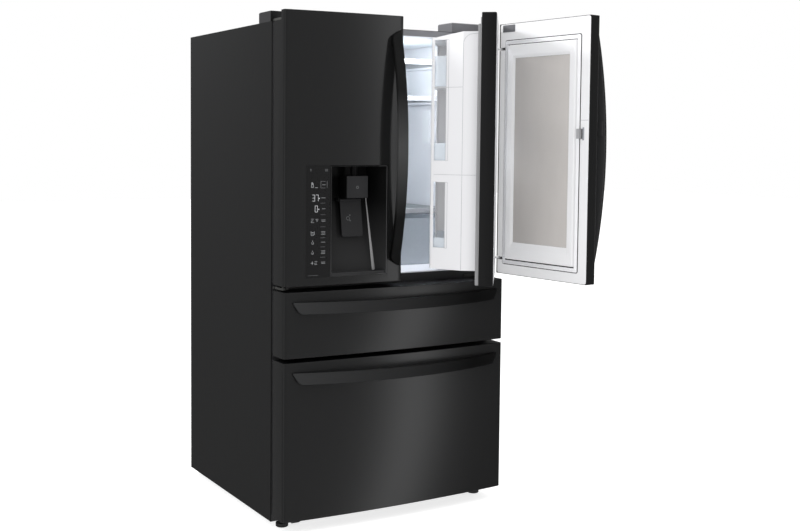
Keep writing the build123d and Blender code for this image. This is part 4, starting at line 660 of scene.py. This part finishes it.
inner_panel = rect_loft("outer_door_inner", [
    inset_rect(PANEL, 0, 8, OUTER_BACK - 4), inset_rect(PANEL, 0, 8, OUTER_BACK - 1),
    inset_rect(PANEL, 1, 8, OUTER_BACK), inset_rect(SEAT, -2.2, 7, OUTER_BACK),
    inset_rect(SEAT, -1.6, 7, OUTER_BACK - 1.8), inset_rect(SEAT, 15.2, 5, OUTER_BACK - 1.8),
    inset_rect(RAISED, 15.8, 5, OUTER_BACK - 0.5), inset_rect(RAISED, 17.5, 6, OUTER_BACK + 7),
    inset_rect(RAISED, 20, 7, OUTER_BACK + 9),
    (GX0 - 8, GX1 + 8, GLASS[0] - 22, GLASS[1] + 12, 5, OUTER_BACK + 9),
    (GX0 - 6, GX1 + 6, GLASS[0] - 19, GLASS[1] + 9, 4, OUTER_BACK + 8),
    (GX0 - 0.5, GX1 + 0.5, GLASS[0] - 0.5, GLASS[1] + 0.5, 2, OUTER_BACK - 0.2),
    (GX0 - 0.5, GX1 + 0.5, GLASS[0] - 0.5, GLASS[1] + 0.5, 2, OUTER_BACK - 4)],
    "outer_door", panel_white_glow, OUTER, replaces=("outer_door_liner",), slot="white_liner")
# The hinges' slots, and the hole that the latch comes through.
cut(inner_panel, ARM_SLOTS + [cutter(32.5, 42.5, OUTER_BACK - 6, OUTER_BACK + 2, BUTTON_Z - 36.5,
                                     BUTTON_Z - 1.5, OUTER)])
LINE_OUT = 3.2  # the dark line runs this far outside the seal's seat
frame_sweep("outer_seal_line", SEAT[0] - LINE_OUT, SEAT[1] + LINE_OUT, SEAT[2] - LINE_OUT,
            SEAT[3] + LINE_OUT, 8,
            [(0, OUTER_BACK - 0.5), (0, OUTER_BACK + 0.25), (1.1, OUTER_BACK + 0.25),
             (1.1, OUTER_BACK - 0.5)], "outer_door", seam_dark, OUTER, slot="grey_gasket")
soft_box("outer_hinge_cap", HALF - 88, HALF - 27, OUTER_BACK - 2, OUTER_BACK + 2.6, DOOR_Z1 - 31,
         DOOR_Z1 - 5, 1.2, "outer_door", hinge_grey, OUTER, slot="grey_cover")
soft_box("latch_plate", 24, 31.6, OUTER_BACK - 1, OUTER_BACK + 1.2, BUTTON_Z - 41, BUTTON_Z + 3, 0.5,
         "outer_door", seam_grey, OUTER, slot="dark_plastic")
soft_box("edge_seam", 6, SEAT[0] - 4, OUTER_BACK - 0.5, OUTER_BACK + 0.2, BUTTON_Z + 27, BUTTON_Z + 28.2,
         0.1, "outer_door", seam_grey, OUTER, slot="grey_gasket")


# ---- Right door: seams and window trims of the bin case ----
def boxes(*sizes):
    """One mesh from several plain boxes, for thin lines and marks."""
    parts = [(box_points(*size), BOX_FACES) for size in sizes]
    return merge(*parts)


# The bin case's free side: straight to the bend, then slanting inwards to the back.
CASE_X, CASE_BACK, CASE_BEND, CASE_SLANT = FREE_X + 36, 160.0, 50.0, 50.0
CASE_Z0, CASE_Z1 = corners("right_bin_case")[2], corners("right_bin_case")[5]
SHELF_LOW, SHELF_HIGH = DOOR_Z0 + 376.5, DOOR_Z0 + 674.5  # seams that cross the side
ARC_R = 34.0  # the long seam turns forwards round this radius at its top
WINDOW_Y0, WINDOW_Y1 = 99.0, 107.4  # the two windows in the side
SINK = 0.6  # thin lines reach this far into the side


def case_side(y):
    """X of the bin case's free side at a depth."""
    return CASE_X + max(0.0, y - CASE_BEND) * CASE_SLANT / (CASE_BACK - CASE_BEND)


def side_strip(y0, y1, z0, z1, proud=0.35):
    """Thin strip that lies on the bin case's free side."""
    points = []
    for y in (y0, y1):
        for x in (case_side(y) - proud, case_side(y) + SINK):
            points += [(x, y, z0), (x, y, z1)]
    return points, BOX_FACES


def level_strip(y0, y1, z):
    """Thin level strip 1 mm high on the bin case's free side."""
    return side_strip(y0, y1, z - 0.5, z + 0.5)


def side_line(points, wide=1.0, proud=0.35):
    """Thin raised line along points (y, z) of the bin case's free side."""
    rows = []
    for i, (y, z) in enumerate(points):
        a, b = points[max(0, i - 1)], points[min(len(points) - 1, i + 1)]
        along = Vector((b[0] - a[0], b[1] - a[1])).normalized() * wide / 2
        left, right = (y - along[1], z + along[0]), (y + along[1], z - along[0])
        rows.append([(case_side(q[0]) - p, q[0], q[1]) for q, p in
                     ((left, proud), (right, proud), (right, -SINK), (left, -SINK))])
    return capped_grid(rows)


def case_piece(name, parts):
    """Thin grey lines on the bin case."""
    verts, faces = merge(*parts)
    return piece(name, verts, faces, "right_door", seam_grey, INNER, slot="grey_gasket")


ARC_Z = CASE_Z1 - 42
bend = [(CASE_BEND - 1, CASE_Z0 + 2), (CASE_BEND - 1, ARC_Z)]
for k in range(1, 10):
    a = math.radians(10 * k)
    bend.append((CASE_BEND - 1 - ARC_R * (1 - math.cos(a)), ARC_Z + ARC_R * math.sin(a)))
bend.append((-10, CASE_Z1 - 6))
case_piece("bin_case_seams", [side_line(bend), level_strip(-10, CASE_BEND - 1, SHELF_LOW),
                              level_strip(CASE_BEND + 0.6, CASE_BACK - 12, SHELF_LOW),
                              level_strip(CASE_BEND + 0.6, 107, SHELF_HIGH)])
trims = []
for z0, z1 in ((CASE_Z0 + 74, SHELF_LOW - 26), (SHELF_LOW + 48, CASE_Z1 - 25)):
    trims += [side_strip(y, y + 1.0, z0, z1) for y in (WINDOW_Y0, WINDOW_Y1 - 1)]
    trims += [level_strip(WINDOW_Y0 + 1, WINDOW_Y1, z) for z in (z0, z1)]
case_piece("bin_window_trims", trims)


# ---- Dispenser: marks, trim and highlights ----
def on_front(x0, x1, z0, z1, proud=0.3):
    """Thin plate on the bowed front."""
    y = bow((x0 + x1) / 2)
    return (x0, x1, y - proud, y + 0.4, z0, z1)


def front_marks(name, plates, m):
    """Thin plates on the left front, as one piece."""
    verts, faces = boxes(*plates)
    piece(name, verts, faces, "left_door", m, slot="black_gloss")


# Each segment of a digit: left, right, low and high, in digit widths and half heights.
SEGMENTS = {"top": (0, 1, 2, 2), "middle": (0, 1, 1, 1), "bottom": (0, 1, 0, 0), "high_left": (0, 0, 1, 2),
            "high_right": (1, 1, 1, 2), "low_left": (0, 0, 0, 1), "low_right": (1, 1, 0, 1)}
DIGITS = {"0": "top bottom high_left high_right low_left low_right",
          "3": "top middle bottom high_right low_right", "7": "top high_right low_right"}


def digit(text, x, z, wide=9.5, high=21.5, t=0.85):
    """Seven-segment digit with its lower left corner at x, z and strokes t wide."""
    plates = []
    for name in DIGITS[text].split():
        x0, x1, z0, z1 = SEGMENTS[name]
        plates.append(on_front(x + x0 * (wide - t), x + x1 * (wide - t) + t, z + z0 * (high - t) / 2,
                               z + z1 * (high - t) / 2 + t))
    return plates


# The display's two columns, and the heights of its rows of marks.
LABEL_X, ICON_X = -309.0, -350.0
ROW_LOCK, ROW_FRIDGE, ROW_FREEZER = 1191, 1136, 1099
ROW_A, ROW_B, ROW_C, ROW_D, ROW_E = 1070, 1028, 997, 963, 927
ROW_FAINT = 1241


def label(z, rows, wide=20.0):
    """Blank stand-in for a small printed label: one to three short bars."""
    middles = [z + 4.5 * ((rows - 1) / 2 - i) for i in range(rows)]
    return [on_front(LABEL_X - wide / 2 + 1.5 * (i % 2), LABEL_X + wide / 2 - 1.5 * (i % 2), m - 0.9, m + 0.9)
            for i, m in enumerate(middles)]


def thin_bar(x0, x1, z):
    """Line 0.6 mm high."""
    return on_front(x0, x1, z - 0.3, z + 0.3)


def outline(x0, x1, z0, z1, t=0.8):
    """Four strokes round a rectangle."""
    return [on_front(x0, x1, z0, z0 + t), on_front(x0, x1, z1 - t, z1), on_front(x0, x0 + t, z0, z1),
            on_front(x1 - t, x1, z0, z1)]


digits = digit("3", -352, ROW_FRIDGE) + digit("7", -339, ROW_FRIDGE) + digit("0", -342, ROW_FREEZER)
digits += [on_front(x, x + 2.5, z + 8, z + 11) for x, z in ((-327.5, ROW_FRIDGE), (-329, ROW_FREEZER))]
labels = outline(-321, -297, ROW_LOCK - 11, ROW_LOCK + 12) + label(ROW_LOCK, 1, 14)
labels += label(ROW_FRIDGE + 11, 1) + label(ROW_FREEZER + 11, 1, 15)
for z, rows in ((ROW_A, 2), (ROW_B, 3), (ROW_C, 1), (ROW_D, 3), (ROW_E, 2)):
    labels += label(z, rows)
labels += [thin_bar(LABEL_X - 13, LABEL_X + 13, z) for z in (1129, 1090, 1049, 1012, 981, 946)]
labels.append(thin_bar(-368, -300, 885))
front_marks("display_digits", digits, pale_mark)
front_marks("display_labels", labels, dim_mark)

# Strokes of the plain symbols: left, right, low and high, in units of a symbol's size.
BORDER = [(-0.8, 0.8, 0.78, 0.9), (-0.8, 0.8, -0.9, -0.78), (-0.8, -0.68, -0.78, 0.78),
          (0.68, 0.8, -0.78, 0.78)]
SYMBOLS = {
    "bottle": [(-0.6, -0.46, -1, 0.9), (0.1, 0.24, -1, 0.5), (-0.46, 0.1, -1, -0.88),
               (-0.3, -0.05, 0.1, 0.9)],
    "bars": [(-0.9, 0.9, 0.6, 0.75), (-0.6, 0.6, 0.0, 0.15), (-0.3, 0.3, -0.6, -0.45)],
    "drop": [(-0.5, -0.36, -0.7, 0.1), (0.36, 0.5, -0.7, 0.1), (-0.4, 0.4, -0.85, -0.7),
             (-0.08, 0.08, 0.2, 0.9)],
    "cross": [(-0.1, 0.1, -0.9, 0.9), (-0.9, 0.9, -0.1, 0.1)],
    "box": BORDER[:2] + [(-0.15, 0.15, -0.15, 0.15), (-0.8, -0.68, -0.78, 0.2)],
    "rows": BORDER[1:] + [(-0.5, 0.5, 0.25, 0.38), (-0.5, 0.5, -0.38, -0.25)],
}


def icon(kind, x, z, size):
    """Plain symbol of a few thin strokes round x, z."""
    return [on_front(x + a * size, x + b * size, z + c * size, z + d * size) for a, b, c, d in SYMBOLS[kind]]


icons = icon("bottle", ICON_X, ROW_LOCK, 9) + [on_front(-342, -332, ROW_LOCK - 10, ROW_LOCK - 8.8)]
for kind, x, z, size in (("box", ICON_X, ROW_A, 7), ("bars", -334, ROW_A + 1, 6), ("rows", ICON_X, ROW_B, 8),
                         ("drop", ICON_X, ROW_C, 7), ("drop", ICON_X, ROW_D, 7), ("cross", -351, ROW_E, 6),
                         ("box", -337, ROW_E, 6)):
    icons += icon(kind, x, z, size)
front_marks("display_icons", icons, mid_mark)
front_marks("display_faint_icons", icon("bottle", -357, ROW_FAINT, 4) + icon("rows", -300, ROW_FAINT, 5),
            dim_mark)

# The recess and its thin rim.
RX0, RX1, RZ0, RZ1 = -281.0, -67.0, DZ0 + 4.0, DZ1 - 4.0
RIM = 1.4
frame_sweep("recess_trim", RX0 - RIM, RX1 + RIM, RZ0 - RIM, RZ1 + RIM, 3.0,
            [(0, 0.3), (0.3, -0.5), (RIM, -0.5), (1.7, 0.3)], "left_door", rim_grey, bowed=True,
            slot="handle_steel")
MID_X = (RX0 + RX1) / 2
SURFACE = bow(MID_X)


def round_ring(x, y, z, r, t, steps=28):
    """Thin raised ring that faces the front."""
    rows = []
    for k in range(steps):
        a = 2 * math.pi * k / steps
        rows.append([(x + q * math.cos(a), yy, z + q * math.sin(a)) for q, yy in
                     ((r - t, y + 0.3), (r - t, y - 0.3), (r, y - 0.3), (r, y + 0.3))])
    return tube_grid(rows)


CHUTE_FACE = SURFACE + 15  # front of the chute's block
soft_box("chute_face", MID_X - 41, MID_X + 41, CHUTE_FACE - 0.15, CHUTE_FACE + 0.5, RZ1 - 109.5, RZ1 - 34.5,
         0.2, "left_door", chute_black, slot="dark_plastic")
verts, faces = round_ring(MID_X, CHUTE_FACE, 1180, 4.5, 0.8)
piece("chute_ring", verts, faces, "left_door", dim_mark, slot="black_gloss")


def recess_depth(z):
    """Depth of the recess's back wall behind the front, at a height."""
    knee = RZ1 - 115
    return 46 + 37 * min(1.0, (z - RZ0) / (knee - RZ0))


# Painted highlight: a thin pale strip along the recess's right corner, thinning towards its top, stands in
# for light on that edge.
HIGHLIGHT_ROWS, HIGHLIGHT_SIDES = 20, 12
highlight_rows = []
for k in range(HIGHLIGHT_ROWS + 1):
    t = k / HIGHLIGHT_ROWS
    z = RZ0 + 7 + (RZ1 - 68 - RZ0) * t
    d = recess_depth(z)
    w = 5.5 * (1 - t) ** 1.3 + 1.2
    x, y = RX1 - 0.41 * d - 3.5 + 2.5 * t, SURFACE + d - 2.0
    angles = [2 * math.pi * j / HIGHLIGHT_SIDES for j in range(HIGHLIGHT_SIDES)]
    highlight_rows.append([(x + w * math.cos(a), y + w * 0.45 * math.sin(a), z) for a in angles])
verts, faces = capped_grid(highlight_rows)
piece("recess_painted_highlight", verts, faces, "left_door", highlight_grey, slot="black_gloss")

# Three rings on the paddle's face, set square to it.
paddle = frame["nodes"]["dispenser_paddle"].data
plate = max((p for p in paddle.polygons if p.normal.y < -0.5), key=lambda p: p.area)
lean = plate.normal.to_track_quat("Z", "Y").to_matrix().to_4x4()
ON_PADDLE = Matrix.Translation(plate.center) @ lean @ Matrix.Rotation(math.radians(-90), 4, "X")
rings = [round_ring(x, 0, z, r, 0.8) for x, z, r in ((0, -22, 6.5), (8, -11, 2.2), (8, -30, 2.2))]
verts, faces = merge(*rings)
piece("paddle_symbol", verts, faces, "dispenser_paddle", dim_mark, ON_PADDLE, slot="black_gloss")


# ---- Back ----
def screw_head(x, y, z, r=5.0, rise=2.2, steps=16):
    """Domed screw head on a washer, facing the back."""
    angles = [2 * math.pi * k / steps for k in range(steps)]
    rows = []
    for q, d in ((r + 2.5, 0.0), (r + 2.5, 0.6), (r, 0.7), (r * 0.85, rise * 0.75), (r * 0.45, rise)):
        rows.append([(x + q * math.cos(a), y + d, z + q * math.sin(a)) for a in angles])
    return capped_grid(rows)


def spaced(first, last, n=5):
    """Evenly spaced places from first to last."""
    return [first + k * (last - first) / (n - 1) for k in range(n)]


back_box, cover_box = corners("rear_panel"), corners("compressor_cover")
BACK_Y, COVER_Y = back_box[4], cover_box[4]
screws = [screw_head(x, BACK_Y, z) for x in (back_box[0] + 14, back_box[3] - 14)
          for z in spaced(back_box[2] + 40, back_box[5] - 40)]
screws += [screw_head(x, COVER_Y, z) for z in (cover_box[2] + 12, cover_box[5] - 12)
           for x in spaced(cover_box[0] + 16, cover_box[3] - 16)]
verts, faces = merge(*screws)
piece("rear_screws", verts, faces, "cabinet", zinc, slot="bare_steel")
RIB_HALF, RIB_RISE, RIB_END = 9, 1.6, 90
verts, faces = boxes(*[(x - RIB_HALF, x + RIB_HALF, BACK_Y - 0.5, BACK_Y + RIB_RISE, back_box[2] + RIB_END,
                        back_box[5] - RIB_END) for x in spaced(-300, 300)])
piece("rear_ribs", verts, faces, "cabinet", bare_steel, slot="bare_steel")

# ---- Camera, floor and light ----
camera = bpy.data.objects.new("camera", bpy.data.cameras.new("camera"))
bpy.context.scene.collection.objects.link(camera)
bpy.context.scene.camera = camera
CAMERA_AT = Vector((-2.1078, -3.4679, 1.3450))
YAW, PITCH, ROLL = 0.508, 0.061, 0.007  # radians: to the right, downwards, and about the line of sight
ahead = Vector((math.sin(YAW) * math.cos(PITCH), math.cos(YAW) * math.cos(PITCH), -math.sin(PITCH)))
right_way = Vector((math.cos(YAW), -math.sin(YAW), 0))
up = right_way.cross(ahead)
side = right_way * math.cos(ROLL) + up * math.sin(ROLL)
top = up * math.cos(ROLL) - right_way * math.sin(ROLL)
camera.matrix_world = Matrix([(side[i], top[i], -ahead[i], CAMERA_AT[i]) for i in range(3)] + [(0, 0, 0, 1)])
camera.data.sensor_width = 36
camera.data.lens = 50.94
camera.data.shift_x = 0.0711
camera.data.shift_y = -0.0715
camera.data.clip_end = 60

floor_mesh = bpy.data.meshes.new("floor")
floor_corners = [(x * 20, y * 20, -0.001) for x, y in ((-1, -1), (1, -1), (1, 1), (-1, 1))]
floor_mesh.from_pydata(floor_corners, [], [(0, 1, 2, 3)])
floor_obj = bpy.data.objects.new("floor", floor_mesh)
bpy.context.scene.collection.objects.link(floor_obj)
floor_mesh.materials.append(material("floor", (0.55, 0.55, 0.55), 0.9, grain=3.0, spread=0.004, bump=0.0,
                                     sockets=glow(0.75)))
floor_obj.visible_glossy = False

# The background and the soft light are white; shiny surfaces mirror a dimmer studio with tall softboxes.
world = bpy.data.worlds.new("world")
bpy.context.scene.world = world
world.use_nodes = True
world.cycles.sampling_method = "NONE"
sky = world.node_tree


def calc(tree, operation, *values, vector=False):
    """Math node fed with sockets, numbers or vectors; its result is returned."""
    node = tree.nodes.new("ShaderNodeVectorMath" if vector else "ShaderNodeMath")
    node.operation = operation
    for socket, value in zip(node.inputs, values):
        if isinstance(value, bpy.types.NodeSocket):
            tree.links.new(value, socket)
        else:
            socket.default_value = value
    return node.outputs["Value"] if operation == "DOT_PRODUCT" or not vector else node.outputs["Vector"]


# Which way a ray looks, seen from above.
heading = sky.nodes.new("ShaderNodeTexCoord").outputs["Generated"]
heading = calc(sky, "MULTIPLY", heading, (1, 1, 0), vector=True)
heading = calc(sky, "NORMALIZE", heading, vector=True)


def softbox(azimuth, sharp, strength):
    """A tall soft light in the studio's walls, its azimuth counted from the front to the right."""
    a = math.radians(azimuth)
    facing = calc(sky, "DOT_PRODUCT", heading, (math.sin(a), -math.cos(a), 0), vector=True)
    return calc(sky, "MULTIPLY", calc(sky, "POWER", calc(sky, "MAXIMUM", facing, 0.0), sharp), strength)


studio = 0.03  # the walls between the softboxes
for azimuth, sharp, strength in ((18, 10, 0.25), (33.6, 560, 2.6), (-60, 10, 0.7),
                                 (-151, 4, 0.15), (115, 3, 0.3)):
    studio = calc(sky, "ADD", softbox(azimuth, sharp, strength), studio)
rays = sky.nodes.new("ShaderNodeLightPath")
plain = calc(sky, "MAXIMUM", rays.outputs["Is Camera Ray"], rays.outputs["Is Diffuse Ray"])
mirrored = calc(sky, "SUBTRACT", 1.0, plain)
light = calc(sky, "ADD", calc(sky, "MULTIPLY", plain, 1.0), calc(sky, "MULTIPLY", mirrored, studio))
sky.nodes["Background"].inputs["Color"].default_value = (1, 1, 1, 1)
sky.links.new(light, sky.nodes["Background"].inputs["Strength"])
bpy.context.scene.view_settings.view_transform = "Standard"


def lamp(name, place, towards, wide, high, power, colour=(1, 1, 1)):
    """Soft rectangular lamp, in metres and watts, that neither the camera nor a reflection shows."""
    data = bpy.data.lights.new(name, "AREA")
    data.shape, data.size, data.size_y, data.energy, data.color = "RECTANGLE", wide, high, power, colour
    o = bpy.data.objects.new(name, data)
    bpy.context.scene.collection.objects.link(o)
    o.location = place
    o.rotation_mode = "QUATERNION"
    o.rotation_quaternion = (Vector(towards) - Vector(place)).to_track_quat("-Z", "Y")
    o.visible_camera = False
    o.visible_glossy = False


lamp("overhead", (0, -1.0, 5.0), (0, -0.4, 0), 5, 5, 120)
lamp("inside_top", (0.02, 0.12, 1.69), (0.02, 0.3, 0.9), 0.5, 0.12, 8, (0.95, 0.97, 1))
lamp("side_top", (-1.3, 0.9, 2.6), (-0.454, 0.75, 1.7), 0.6, 0.3, 50)
lamp("inner_side_fill", (-2.2, -0.9, 1.8), (0.55, -0.35, 1.3), 2.5, 2.5, 20)
